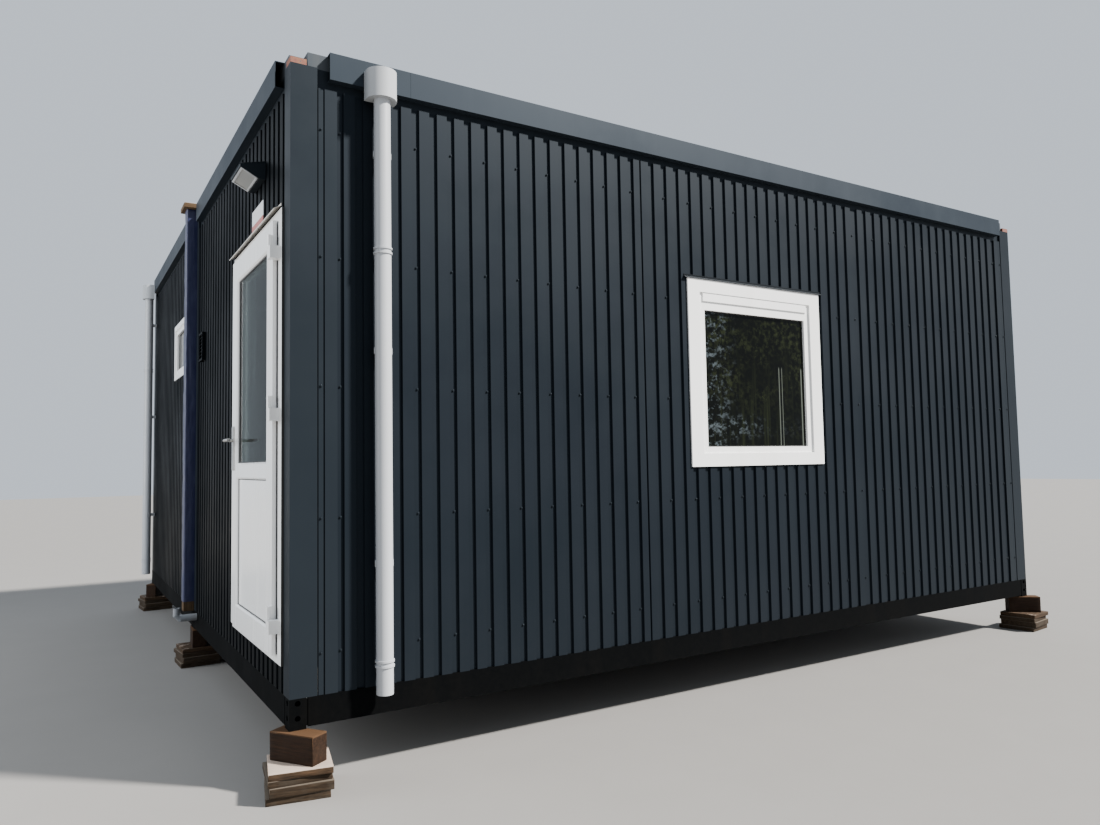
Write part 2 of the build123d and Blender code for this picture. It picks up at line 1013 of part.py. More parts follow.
def handle_set(face, out):
    # a long plate with a lever that points back towards the hinges; out is -1 or 1 along x
    y = leaf_end - handle_edge
    z_0 = support_height + leaf_bottom + handle_plate_bottom
    plate = block(
        face,
        face + out * handle_plate_thickness,
        y - handle_plate_width / 2,
        y + handle_plate_width / 2,
        z_0,
        z_0 + handle_plate_height,
    )
    upright = plate.edges().filter_by(Axis.X)
    plate = fillet(upright, handle_plate_width / 4)
    level = z_0 + lever_height
    neck_start = face + out * handle_plate_thickness
    neck_end = neck_start + out * lever_neck
    path = Polyline((neck_start, y, level), (neck_end, y, level), (neck_end, y - lever_length, level))
    outline = RegularPolygon(lever_radius, lever_sides)
    lever = sweep(Plane(path @ 0, z_dir=path % 0) * outline, path=path, transition=Transition.RIGHT)
    return plate + lever


def outside_handle():
    return [handle_set(leaf_face, -1)]


def inside_handle():
    return [handle_set(leaf_face + leaf_depth, 1)]


def lamp_section():
    bottom = support_height + lamp_bottom
    return (
        (0, bottom),
        (-lamp_foot, bottom),
        (-lamp_reach, bottom + lamp_rise),
        (-lamp_reach, bottom + lamp_rise + lamp_lip),
        (0, bottom + lamp_height),
    )


def lens_section(inset):
    # a plate along the sloping underside of the lamp
    bottom = support_height + lamp_bottom
    run = lamp_reach - lamp_foot
    length = math.hypot(run, lamp_rise)
    ux = -run / length
    uz = lamp_rise / length
    start = (-lamp_foot + ux * lamp_lens_margin, bottom + uz * lamp_lens_margin)
    end = (-lamp_reach - ux * lamp_lens_margin, bottom + lamp_rise - uz * lamp_lens_margin)
    nx = uz * inset
    nz = -ux * inset
    return (start, end, (end[0] + nx, end[1] + nz), (start[0] + nx, start[1] + nz))


def lamp_housing():
    low = lamp_centre - lamp_width / 2
    high = lamp_centre + lamp_width / 2
    body = side_run("left", lamp_section(), low, high)
    lens_low = low + lamp_lens_margin
    lens_high = high - lamp_lens_margin
    pocket = side_run("left", lens_section(lamp_lens_thickness), lens_low, lens_high)
    return [body - pocket]


def lamp_lens():
    low = lamp_centre - lamp_width / 2 + lamp_lens_margin
    high = lamp_centre + lamp_width / 2 - lamp_lens_margin
    return [side_run("left", lens_section(lamp_lens_thickness), low, high)]


def wall_vent():
    # a louvred grille: a frame with sloping blades
    z_0 = support_height + vent_bottom
    z_1 = z_0 + vent_height
    start = joint_centre - vent_start
    end = start + vent_width
    frame = vent_frame
    grille = ring("left", start, end, -vent_depth, 0, z_0, z_1, frame, frame, frame, frame)
    pitch = (vent_height - 2 * frame) / vent_blades
    for index in range(vent_blades):
        level = z_0 + frame + index * pitch
        top = level + pitch - vent_blade_thickness
        near = -vent_depth + vent_blade_setback
        section = (
            (near, level),
            (near + vent_blade_thickness, level),
            (-vent_blade_setback, top),
            (-vent_blade_setback - vent_blade_thickness, top),
        )
        grille += side_run("left", section, start + frame, end - frame)
    return [grille]


def pipe_spots():
    return (("front", front_pipe_along), ("left", building_width - end_pipe_from_corner))


def rainwater_heads():
    # a box with flat cheeks and a half-round front
    heads = []
    half = head_width / 2
    for side, along in pipe_spots():
        z_0 = support_height + head_bottom
        outer = head_shape(side, along, half, fascia_stand_off, z_0, z_0 + head_height)
        back = fascia_stand_off + head_wall
        inner = head_shape(side, along, half - head_wall, back, z_0 + head_wall, z_0 + head_height + 1)
        outlet = upright_cylinder(side, along, pipe_radius - pipe_wall, z_0 - 1, z_0 + 2 * head_wall)
        heads.append(outer - inner - outlet)
    return heads


def head_shape(side, along, half, back, z_0, z_1):
    straight = side_block(side, along - half, along + half, -back, -head_straight, z_0, z_1)
    x, y = side_point(side, along, -head_straight)
    front = Pos(x, y, (z_0 + z_1) / 2) * Cylinder(half, z_1 - z_0)
    front &= side_block(side, along - half, along + half, -head_straight, -head_straight - half, z_0, z_1)
    return straight + front


def upright_cylinder(side, along, radius, z_0, z_1):
    x, y = side_point(side, along, -pipe_stand_off)
    return Pos(x, y, (z_0 + z_1) / 2) * Cylinder(radius, z_1 - z_0)


def downpipe(side, along):
    z_0 = support_height + pipe_bottom
    z_1 = support_height + head_bottom
    pipe = upright_cylinder(side, along, pipe_radius, z_0, z_1)
    for height in pipe_collar_heights:
        for lift in (0, pipe_collar_pitch):
            level = support_height + height + lift
            pipe += upright_cylinder(side, along, pipe_collar_radius, level, level + pipe_collar_height)
    return [pipe - upright_cylinder(side, along, pipe_radius - pipe_wall, z_0 - 1, z_1 + 1)]


def front_downpipe():
    side, along = pipe_spots()[0]
    return downpipe(side, along)


def end_downpipe():
    side, along = pipe_spots()[1]
    return downpipe(side, along)


def pipe_brackets():
    # feet with clips that hold the back half of each pipe
    brackets = []
    radius = pipe_radius + bracket_thickness
    reach = 2 * radius
    for side, along in pipe_spots():
        for height in bracket_heights:
            z_0 = support_height + height
            z_1 = z_0 + bracket_width
            x, y = side_point(side, along, -pipe_stand_off)
            centre = Pos(x, y, (z_0 + z_1) / 2)
            half_foot = bracket_foot / 2
            foot = side_block(side, along - half_foot, along + half_foot, 0, -pipe_stand_off, z_0, z_1)
            band = centre * flat_sided_bar(radius, bracket_width, bracket_sides)
            bore = centre * flat_sided_bar(pipe_radius, bracket_width + 2, bracket_sides)
            behind = side_block(side, along - reach, along + reach, 0, -pipe_stand_off, z_0, z_1)
            brackets.append((band + foot - bore) & behind)
    return brackets


def waste_pipe(path):
    start = Plane(path @ 0, z_dir=path % 0)
    outer = start * RegularPolygon(waste_radius, waste_sides)
    inner = start * RegularPolygon(waste_radius - waste_wall, waste_sides)
    return sweep(outer - inner, path=path, transition=Transition.RIGHT)


def waste_pipes():
    # a straight stub and an elbow that come out under the joint
    stub_y = joint_centre + stub_offset
    level = support_height + waste_height
    stub = waste_pipe(Polyline((0, stub_y, level), (-stub_reach, stub_y, level)))
    elbow_y = joint_centre + elbow_offset
    level = support_height + elbow_height
    corner_start = elbow_bend - elbow_reach
    elbow = waste_pipe(
        Polyline(
            (0, elbow_y, level),
            (corner_start, elbow_y, level),
            (-elbow_reach, elbow_y, level + elbow_bend),
            (-elbow_reach, elbow_y, level + elbow_rise),
        )
    )
    return [stub, elbow]


def all_nodes():
    return {
        "support_planks_lowest": support_planks(0),
        "support_planks_second": support_planks(1),
        "support_planks_third": support_planks(2),
        "support_planks_top": support_planks(3),
        "support_blocks": support_blocks(),
        "base_castings": base_castings(),
        "base_beams": base_beams(),
        "floor_joists": floor_joists(),
        "floors": floors(),
        "corner_posts": corner_posts(),
        "corner_plates": corner_plates(),
        "top_rails": top_rails(),
        "ceilings": ceilings(),
        "roof_decks": roof_decks(),
        "joint_covers": joint_covers(),
        "roof_seam_board": roof_seam_board(),
        "front_wall": front_wall(),
        "back_wall": back_wall(),
        "left_walls": left_walls(),
        "over_door_wall": over_door_wall(),
        "right_walls": right_walls(),
        "front_cladding": front_cladding(),
        "back_cladding": back_cladding(),
        "left_cladding": left_cladding(),
        "right_cladding": right_cladding(),
        "edge_flashings": edge_flashings(),
        "fascias": fascias(),
        "joint_battens": joint_battens(),
        "left_joint_wrap": joint_wrap("left"),
        "right_joint_wrap": joint_wrap("right"),
        "front_window_frame": front_window_frame(),
        "front_window_sash": front_window_sash(),
        "front_window_vent": front_window_vent(),
        "front_window_glass": front_window_glass(),
        "small_window_frame": small_window_frame(),
        "small_window_sash": small_window_sash(),
        "small_window_glass": small_window_glass(),
        "rain_caps": rain_caps(),
        "door_frame": door_frame(),
        "frame_hinges": frame_hinges(),
        "door_leaf": door_leaf(),
        "door_panel": door_panel(),
        "door_glass": door_glass(),
        "leaf_hinges": leaf_hinges(),
        "outside_handle": outside_handle(),
        "inside_handle": inside_handle(),
        "lamp_housing": lamp_housing(),
        "lamp_lens": lamp_lens(),
        "wall_vent": wall_vent(),
        "rainwater_heads": rainwater_heads(),
        "front_downpipe": front_downpipe(),
        "end_downpipe": end_downpipe(),
        "pipe_brackets": pipe_brackets(),
        "waste_pipes": waste_pipes(),
    }


def main():
    os.makedirs("parts", exist_ok=True)
    nodes = all_nodes()
    whole = Compound([solid for solids in nodes.values() for solid in solids])
    bounds = whole.bounding_box()
    centre = bounds.center()
    to_origin = Pos(-centre.X, -centre.Y, -bounds.min.Z)
    for name, solids in nodes.items():
        export_step(to_origin * Compound(solids), f"parts/{name}.step")
    print("moved by", round(-centre.X, 3), round(-centre.Y, 3), round(-bounds.min.Z, 3))
    print("size", round(bounds.size.X, 3), round(bounds.size.Y, 3), round(bounds.size.Z, 3))
    print("hinge axis at", round(hinge_x - centre.X, 3), round(hinge_y - centre.Y, 3))


main()
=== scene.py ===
import math
import random

import bpy
from mathutils import Matrix, Vector, noise


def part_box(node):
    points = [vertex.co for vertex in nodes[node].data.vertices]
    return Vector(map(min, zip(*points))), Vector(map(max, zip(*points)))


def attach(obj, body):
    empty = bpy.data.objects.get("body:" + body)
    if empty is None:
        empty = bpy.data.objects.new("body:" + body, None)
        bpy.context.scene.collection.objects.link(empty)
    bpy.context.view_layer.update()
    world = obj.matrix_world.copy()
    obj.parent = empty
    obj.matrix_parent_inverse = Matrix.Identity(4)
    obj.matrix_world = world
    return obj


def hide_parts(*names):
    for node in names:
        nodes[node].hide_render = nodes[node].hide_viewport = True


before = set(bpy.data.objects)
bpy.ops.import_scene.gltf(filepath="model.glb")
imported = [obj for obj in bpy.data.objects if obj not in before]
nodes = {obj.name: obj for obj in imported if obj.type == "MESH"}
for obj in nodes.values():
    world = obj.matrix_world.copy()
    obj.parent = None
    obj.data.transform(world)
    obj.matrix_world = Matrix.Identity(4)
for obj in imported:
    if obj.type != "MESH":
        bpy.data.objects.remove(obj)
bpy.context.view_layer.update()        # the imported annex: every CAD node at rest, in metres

print("frame loaded:", len(nodes), "nodes")

# the near left corner of the steel frame, at the foot of its castings, and the frame's reach
castLow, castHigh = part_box("base_castings")
corner = Vector((castLow.x, castLow.y, castLow.z))
annexLength = castHigh.x - castLow.x
annexWidth = castHigh.y - castLow.y


def clearSelection():
    if bpy.context.object and bpy.context.object.mode != "OBJECT":
        bpy.ops.object.mode_set(mode="OBJECT")
    bpy.ops.object.select_all(action="DESELECT")


def pick(obj):
    clearSelection()
    obj.select_set(True)
    bpy.context.view_layer.objects.active = obj


def settle(obj):
    # puts the place, turn and size of a piece into its mesh
    pick(obj)
    bpy.ops.object.transform_apply(location=True, rotation=True, scale=True)
    return obj


def applyModifier(obj, kind, **values):
    pick(obj)
    modifier = obj.modifiers.new(kind.title(), kind)
    for key, value in values.items():
        setattr(modifier, key, value)
    bpy.ops.object.modifier_apply(modifier=modifier.name)


def startShape(name, addMesh, **values):
    # a new piece from one of Blender's own meshes
    clearSelection()
    addMesh(**values)
    obj = bpy.context.object
    obj.name = name
    return obj


def startBlock(name, low, high):
    low, high = Vector(low), Vector(high)
    obj = startShape(name, bpy.ops.mesh.primitive_cube_add, size=1, location=(low + high) / 2)
    obj.scale = high - low
    return settle(obj)


def startDisc(name, foot, radius, high, sides):
    # a disc or a flat prism that stands on a height
    size = {"location": (0, 0, foot + high / 2), "vertices": sides, "radius": radius, "depth": high}
    return settle(startShape(name, bpy.ops.mesh.primitive_cylinder_add, **size))


def startGrid(name, across, up):
    cells = {"x_subdivisions": across, "y_subdivisions": up}
    return startShape(name, bpy.ops.mesh.primitive_grid_add, size=1, **cells)


def leaveEdit():
    bpy.ops.object.mode_set(mode="OBJECT")


def selectParts(obj, kind, test):
    # leaves edit mode on, with the faces or edges that pass the test selected
    pick(obj)
    bpy.ops.object.mode_set(mode="EDIT")
    bpy.ops.mesh.select_mode(type=kind)
    bpy.ops.mesh.select_all(action="DESELECT")
    leaveEdit()
    for part in obj.data.polygons if kind == "FACE" else obj.data.edges:
        part.select = bool(test(part))
    bpy.ops.object.mode_set(mode="EDIT")


def softenEdges(obj, width, segments=2, angle=35):
    limit = {"limit_method": "ANGLE", "angle_limit": math.radians(angle)}
    applyModifier(obj, "BEVEL", width=width, segments=segments, **limit)


def smoothByAngle(obj, angle=35):
    pick(obj)
    bpy.ops.object.shade_smooth_by_angle(angle=math.radians(angle))
    return obj


def startLoop(name, size, band, proud, edge):
    # a mitred loop about the origin that faces +Z
    obj = startShape(name, bpy.ops.mesh.primitive_plane_add, size=1)
    obj.scale = (*size, 1)
    settle(obj)
    selectParts(obj, "FACE", lambda face: True)
    bpy.ops.mesh.inset(thickness=band)
    bpy.ops.mesh.delete(type="FACE")
    leaveEdit()
    applyModifier(obj, "SOLIDIFY", thickness=proud, offset=1)
    softenEdges(obj, edge)
    return obj


def joinPieces(pieces, name):
    clearSelection()
    for obj in pieces:
        obj.select_set(True)
    bpy.context.view_layer.objects.active = pieces[0]
    if len(pieces) > 1:
        bpy.ops.object.join()
    pieces[0].name = name
    return pieces[0]


def coverWith(obj, material):
    obj.data.materials.clear()
    obj.data.materials.append(material)


def finishPiece(obj, material, body="building"):
    coverWith(obj, material)
    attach(obj, body)


def turnTo(x, y, z):
    # the turn that lays a piece's own axes along these three
    return Matrix((x, y, z)).transposed().to_4x4()


def fillInputs(tree, node, values):
    # an input takes a number, a vector, a colour or the output of another node
    for key, value in values.items():
        socket = node.inputs[key]
        if isinstance(value, bpy.types.NodeSocket):
            tree.links.new(value, socket)
        elif socket.type == "RGBA":
            socket.default_value = (*value, 1)
        else:
            socket.default_value = value


def addNode(tree, kind, inputs=None, **settings):
    node = tree.nodes.new(kind)
    for key, value in settings.items():
        setattr(node, key, value)
    fillInputs(tree, node, inputs or {})
    return node


def addMath(tree, operation, *values, clamp=False):
    inputs = dict(enumerate(values))
    return addNode(tree, "ShaderNodeMath", inputs, operation=operation, use_clamp=clamp).outputs[0]


def times(tree, a, b):
    return addMath(tree, "MULTIPLY", a, b)


def addRamp(tree, source, levels):
    # levels are two values of the source, and what they turn into when that isn't 0 and 1
    labels = ("From Min", "From Max", "To Min", "To Max")
    inputs = {"Value": source, **dict(zip(labels, (*levels, 0, 1)))}
    return addNode(tree, "ShaderNodeMapRange", inputs, clamp=True).outputs["Result"]


def mixColour(tree, factor, a, b):
    inputs = {0: factor, 6: a, 7: b}
    return addNode(tree, "ShaderNodeMix", inputs, data_type="RGBA", clamp_factor=True).outputs[2]


def noiseAt(tree, vector, scale, detail, rough, stretch=None):
    if stretch:
        vector = addNode(tree, "ShaderNodeMapping", {"Vector": vector, "Scale": stretch}).outputs["Vector"]
    inputs = {"Vector": vector, "Scale": scale, "Detail": detail, "Roughness": rough}
    return addNode(tree, "ShaderNodeTexNoise", inputs).outputs["Fac"]


def noiseMask(tree, vector, pattern):
    # a pattern is its noise (scale, detail, roughness, stretch) and the levels it is cut between
    noiseValues, levels = pattern
    return addRamp(tree, noiseAt(tree, vector, *noiseValues), levels)


def placeIn(tree):
    return addNode(tree, "ShaderNodeTexCoord").outputs["Object"]


def axesOf(tree, vector):
    return addNode(tree, "ShaderNodeSeparateXYZ", {0: vector}).outputs


def readMap(tree, name, output="Vector"):
    return addNode(tree, "ShaderNodeAttribute", attribute_name=name).outputs[output]


def newGroup(name, inputs, outputs):
    # a group of number sockets, with the usual value of each input
    group = bpy.data.node_groups.new(name, "ShaderNodeTree")
    for label, value in inputs.items():
        socket = group.interface.new_socket(name=label, in_out="INPUT", socket_type="NodeSocketFloat")
        socket.default_value = value
    for label in outputs:
        group.interface.new_socket(name=label, in_out="OUTPUT", socket_type="NodeSocketFloat")
    return group, addNode(group, "NodeGroupInput").outputs


def useGroup(tree, group, values):
    return addNode(tree, "ShaderNodeGroup", values, node_tree=group).outputs


def makeGrimeGroup():
    # rain streaks, dust near the ground and cloudy wear, as masks
    pattern = {
        "cloud": ((1.7, 5.0, 0.6), (0.35, 0.7)),
        "streak": (4.0, 0.5, (1, 1, 0.045)),
        "streakLevels": (0.5, 0.75),
        "speck": ((34.0, 4.0, 0.7), (0.3, 0.75, 0.25, 1)),
    }
    inputs = {"Streak Scale": 9.0, "Dust Height": 0.7}
    group, given = newGroup("grimeMasks", inputs, ("Cloud", "Streak", "Dust"))
    place = placeIn(group)
    streak = noiseAt(group, place, given["Streak Scale"], *pattern["streak"])
    low = addMath(group, "DIVIDE", axesOf(group, place)["Z"], given["Dust Height"])
    fall = addMath(group, "SUBTRACT", 1.0, low, clamp=True)
    addNode(group, "NodeGroupOutput", {
        "Cloud": noiseMask(group, place, pattern["cloud"]),
        "Streak": addRamp(group, streak, pattern["streakLevels"]),
        "Dust": times(group, fall, noiseMask(group, place, pattern["speck"])),
    })
    return group


def makePeelGroup():
    # the fine unevenness of a sprayed or coil-coated skin, as a bump height
    pattern = {"fine": (2.0, 0.5), "fineHigh": 0.02, "wave": (2.6, 2.0, 0.5)}
    group, given = newGroup("paintPeel", {"Fine Scale": 260.0, "Sheet Wave": 0.4}, ("Height",))
    place = placeIn(group)
    fine = times(group, noiseAt(group, place, given["Fine Scale"], *pattern["fine"]), pattern["fineHigh"])
    wave = times(group, noiseAt(group, place, *pattern["wave"]), given["Sheet Wave"])
    addNode(group, "NodeGroupOutput", {"Height": addMath(group, "ADD", fine, wave)})
    return group


def makeGrainGroup():
    # sawn timber grain along the X of the piece's own grain map
    pattern = {
        "grain": (6.0, 0.65, (0.35, 5.0, 5.0)),
        "rings": {"Distortion": 3.5, "Detail": 3},
        "weather": (14.0, 5.0, 0.7),
    }
    inputs = {"Grain Scale": 26.0, "Ring Scale": 9.0}
    group, given = newGroup("timberGrain", inputs, ("Grain", "Rings", "Weather"))
    local = readMap(group, "grainMap")
    ringInputs = {"Vector": local, "Scale": given["Ring Scale"], **pattern["rings"]}
    rings = addNode(group, "ShaderNodeTexWave", ringInputs, wave_type="RINGS", rings_direction="X")
    addNode(group, "NodeGroupOutput", {
        "Grain": noiseAt(group, local, given["Grain Scale"], *pattern["grain"]),
        "Rings": rings.outputs["Fac"],
        "Weather": noiseAt(group, local, *pattern["weather"]),
    })
    return group


grimeGroup = makeGrimeGroup()
peelGroup = makePeelGroup()
grainGroup = makeGrainGroup()


def newMaterial(name, look):
    # the keys of a look that start with a capital are inputs of the shader itself
    material = bpy.data.materials.new(name)
    material.use_nodes = True
    tree = material.node_tree
    shader = tree.nodes["Principled BSDF"]
    own = {key: value for key, value in look.items() if key in shader.inputs}
    fillInputs(tree, shader, {"Base Color": look["colour"], "Roughness": look["roughness"], **own})
    return material, tree, shader


def addBump(tree, shader, height, distance):
    bump = addNode(tree, "ShaderNodeBump", {"Height": height, "Distance": distance})
    fillInputs(tree, shader, {"Normal": bump.outputs["Normal"]})


def makeSkin(name, look):
    # painted steel or plastic, with cloudy wear, rain streaks, dust low down and a slight peel
    material, tree, shader = newMaterial(name, look)
    grime = useGroup(tree, grimeGroup, {
        "Streak Scale": look["streakScale"],
        "Dust Height": look["dustHeight"],
    })
    peel = useGroup(tree, peelGroup, {"Fine Scale": look["peelScale"], "Sheet Wave": look["wave"]})
    colour = look["colour"]
    for mask in ("Cloud", "Streak", "Dust"):
        key = mask.lower()
        share = times(tree, grime[mask], look[key])
        colour = mixColour(tree, share, colour, look.get(key + "Tone", look["streakTone"]))
    rough = times(tree, grime[look["roughMask"]], look["roughSpread"])
    fillInputs(tree, shader, {
        "Base Color": colour,
        "Roughness": addMath(tree, "ADD", rough, look["roughness"], clamp=True),
    })
    addBump(tree, shader, peel["Height"], look["bump"])
    return material


steelLook = {
    "colour": (0.0064, 0.0089, 0.0121),
    "cloud": 0.5,
    "cloudTone": (0.0080, 0.0106, 0.0140),
    "streak": 0.2,
    "streakTone": (0.0105, 0.0135, 0.0165),
    "streakScale": 9.0,
    "dust": 0.10,
    "dustTone": (0.030, 0.027, 0.023),
    "dustHeight": 1.0,
    "roughness": 0.42,
    "roughMask": "Cloud",
    "roughSpread": 0.14,
    "peelScale": 240.0,
    "wave": 0.35,
    "bump": 0.0012,
    "Specular IOR Level": 0.09,
    "Specular Tint": (0.68, 0.84, 1.0),
}
cladPaint = makeSkin("claddingPaint", steelLook)
# the left end's cladding and vent: a darker, duller copy of the cladding paint, as painted shade for the
# side that stands out of the sun
shadedCladPaint = makeSkin("shadedCladdingPaint", {
    **steelLook,
    "colour": (0.0022, 0.0029, 0.0037),
    "cloudTone": (0.0029, 0.0037, 0.0046),
    "streakTone": (0.0050, 0.0062, 0.0074),
    "Specular IOR Level": 0.035,
})
postPaint = makeSkin("postPaint", {
    **steelLook,
    "colour": (0.0098, 0.0128, 0.0162),
    "cloudTone": (0.0110, 0.0142, 0.0178),
    "roughness": 0.38,
    "wave": 0.15,
})
fasciaPaint = makeSkin("fasciaPaint", {
    **steelLook,
    "colour": (0.0165, 0.0222, 0.0292),
    "cloudTone": (0.0195, 0.0258, 0.0335),
    "streakTone": (0.030, 0.038, 0.047),
    "roughness": 0.40,
    "Specular IOR Level": 0.10,
    "dust": 0.0,
})
basePaint = makeSkin("basePaint", {
    **steelLook,
    "colour": (0.0008, 0.0009, 0.0010),
    "cloudTone": (0.0015, 0.0015, 0.0015),
    "streakTone": (0.005, 0.004, 0.003),
    "roughness": 0.6,
    "Specular IOR Level": 0.03,
    "dust": 0.12,
    "dustHeight": 0.6,
})
roofPaint = makeSkin("roofSheet", {
    **steelLook,
    "colour": (0.045, 0.052, 0.060),
    "cloudTone": (0.062, 0.068, 0.074),
    "streakTone": (0.095, 0.095, 0.090),
    "streak": 0.4,
    "roughness": 0.5,
    "dust": 0.0,
    "wave": 0.9,
})
headPaint = makeSkin("headPaint", {
    **steelLook,
    "colour": (0.40, 0.415, 0.43),
    "cloudTone": (0.37, 0.385, 0.40),
    "streakTone": (0.31, 0.315, 0.315),
    "roughness": 0.4,
    "dust": 0.0,
})
darkTrim = makeSkin("darkTrim", {
    **steelLook,
    "colour": (0.0022, 0.0027, 0.0034),
    "roughness": 0.38,
    "wave": 0.1,
})
print("paint materials made")


# camera at the photograph's angle
viewSettings = {
    "place": (-0.9229, -3.7499, 1.1695),   # from the near left corner, at its base
    "right": (0.8519243, -0.52336057, -0.01785202),
    "down": (0.01720084, 0.06203906, -0.99792549),
    "forward": (0.52338237, 0.84984991, 0.06185483),
    "focal": 812.2778,
    "pixels": 1100,
    "sensor": 36,
    "farthest": 200,
}
camera = bpy.data.objects.new("viewCamera", bpy.data.cameras.new("viewCamera"))
bpy.context.scene.collection.objects.link(camera)
camera.data.sensor_width = viewSettings["sensor"]
camera.data.sensor_fit = "HORIZONTAL"
camera.data.lens = viewSettings["focal"] / viewSettings["pixels"] * viewSettings["sensor"]
camera.data.clip_end = viewSettings["farthest"]
right, down, forward = (Vector(viewSettings[key]) for key in ("right", "down", "forward"))
cameraPlace = corner + Vector(viewSettings["place"])
camera.matrix_world = Matrix.Translation(cameraPlace) @ turnTo(right, -down, -forward)
bpy.context.scene.camera = camera

# floor and light
floorLook = {
    "colour": (0.182, 0.175, 0.165),
    "pale": (0.198, 0.191, 0.180),
    "mottle": (3.0, 4.0, 0.6),
    "roughness": 0.85,
    "size": 90,
}
floor = startShape("studioFloor", bpy.ops.mesh.primitive_plane_add, size=floorLook["size"])
floorMaterial, floorTree, floorShader = newMaterial("studioFloor", floorLook)
floorNoise = noiseAt(floorTree, placeIn(floorTree), *floorLook["mottle"])
floorTone = mixColour(floorTree, floorNoise, floorLook["colour"], floorLook["pale"])
fillInputs(floorTree, floorShader, {"Base Color": floorTone})
coverWith(floor, floorMaterial)

sunSettings = {"towards": (-0.55, 0.49, -0.67), "power": 14.5, "colour": (1.0, 0.97, 0.93), "angle": 4.0}
fillSettings = {
    "place": (-9.4, 0.4, 3.2),
    "aim": (-3.0, -1.4, 1.5),
    "power": 600.0,
    "colour": (0.94, 0.97, 1.0),
    "size": 4.2,
}
skySettings = {"Color": (0.66, 0.73, 0.82), "Strength": 1.08}


def addLight(name, kind, settings, towards):
    light = bpy.data.objects.new(name, bpy.data.lights.new(name, kind))
    light.data.energy = settings["power"]
    light.data.color = settings["colour"]
    light.rotation_euler = towards.to_track_quat("-Z", "Y").to_euler()
    bpy.context.scene.collection.objects.link(light)
    return light


sun = addLight("keyLight", "SUN", sunSettings, Vector(sunSettings["towards"]))
sun.data.angle = math.radians(sunSettings["angle"])
fillPlace = Vector(fillSettings["place"])
fill = addLight("fillLight", "AREA", fillSettings, Vector(fillSettings["aim"]) - fillPlace)
fill.data.size = fillSettings["size"]
fill.location = fillPlace
world = bpy.data.worlds.new("studioWorld")
bpy.context.scene.world = world
world.use_nodes = True
fillInputs(world.node_tree, world.node_tree.nodes["Background"], skySettings)
print("camera, floor and light set")


plasticLook = {
    "colour": (0.88, 0.88, 0.87),
    "cloud": 1.0,
    "cloudTone": (0.85, 0.85, 0.835),
    "streak": 0.16,
    "streakTone": (0.46, 0.43, 0.38),   # and the colour of the dust
    "streakScale": 7.0,
    "dust": 0.20,
    "dustHeight": 0.9,
    "roughness": 0.24,
    "roughMask": "Streak",
    "roughSpread": 0.2,
    "peelScale": 420.0,
    "wave": 0.05,
    "bump": 0.0006,
    "Coat Weight": 0.35,
    "Coat Roughness": 0.15,
}
whitePvc = makeSkin("whitePvc", plasticLook)
pipePlastic = makeSkin("pipePlastic", {
    **plasticLook,
    "colour": (0.43, 0.445, 0.465),
    "cloudTone": (0.40, 0.415, 0.435),
    "streak": 0.3,
    "streakTone": (0.24, 0.24, 0.235),
    "roughness": 0.38,
    "Coat Weight": 0.1,
})
wastePlastic = makeSkin("wastePlastic", {
    **plasticLook,
    "colour": (0.20, 0.215, 0.235),
    "cloudTone": (0.23, 0.245, 0.26),
    "streak": 0.5,
    "streakTone": (0.16, 0.14, 0.12),
    "roughness": 0.42,
})
# black rubber for the gaskets, also used as painted shade in the door's gaps
rubberAndShade = makeSkin("blackRubberAndShade", {
    **plasticLook,
    "colour": (0.012, 0.012, 0.013),
    "cloudTone": (0.02, 0.02, 0.02),
    "streak": 0.3,
    "streakTone": (0.06, 0.055, 0.05),
    "roughness": 0.62,
    "Coat Weight": 0.0,
})
signWhite = makeSkin("plateWhite", {
    **plasticLook,
    "colour": (0.72, 0.72, 0.72),
    "cloudTone": (0.66, 0.67, 0.68),
})
signOrange = makeSkin("plateOrange", {
    **plasticLook,
    "colour": (0.42, 0.050, 0.014),
    "cloudTone": (0.36, 0.048, 0.018),
    "streakTone": (0.25, 0.10, 0.06),
})
creamMetal = makeSkin("creamMetal", {
    **plasticLook,
    "colour": (0.66, 0.62, 0.56),
    "cloudTone": (0.60, 0.55, 0.49),
    "streak": 0.5,
    "streakTone": (0.28, 0.22, 0.17),
})
lensPlastic = makeSkin("lampLens", {
    **plasticLook,
    "colour": (0.15, 0.155, 0.15),
    "cloudTone": (0.19, 0.195, 0.19),
    "streak": 0.3,
    "roughness": 0.3,
})
lensRim = makeSkin("lampRim", {
    **plasticLook,
    "colour": (0.36, 0.37, 0.38),
    "cloudTone": (0.32, 0.33, 0.335),
})
floorVinyl = makeSkin("floorVinyl", {
    **plasticLook,
    "colour": (0.20, 0.18, 0.155),
    "cloudTone": (0.25, 0.225, 0.19),
    "streak": 0.2,
    "roughness": 0.4,
})
liningLook = {
    **plasticLook,
    "colour": (0.70, 0.70, 0.68),
    "cloudTone": (0.67, 0.67, 0.655),
    "streak": 0.05,
    "dust": 0.05,
    "roughness": 0.5,
    "Coat Weight": 0.0,
    "skin": 0.062,
    "skinColour": (0.004, 0.005, 0.006),
}
liningWhite = makeSkin("liningWhite", liningLook)


def darkenOutside(material, look):
    # walls are white indoors, but stay dark where their outer skins stand behind the cladding
    tree = material.node_tree
    shader = tree.nodes["Principled BSDF"]
    indoors = shader.inputs["Base Color"].links[0].from_socket
    axes = axesOf(tree, placeIn(tree))
    depths = []
    for axis, low, length in (("X", corner.x, annexLength), ("Y", corner.y, annexWidth)):
        fromMiddle = addMath(tree, "SUBTRACT", axes[axis], low + length / 2)
        depths.append(addMath(tree, "SUBTRACT", length / 2, addMath(tree, "ABSOLUTE", fromMiddle)))
    outside = addMath(tree, "LESS_THAN", addMath(tree, "MINIMUM", *depths), look["skin"])
    fillInputs(tree, shader, {"Base Color": mixColour(tree, outside, indoors, look["skinColour"])})


darkenOutside(liningWhite, liningLook)


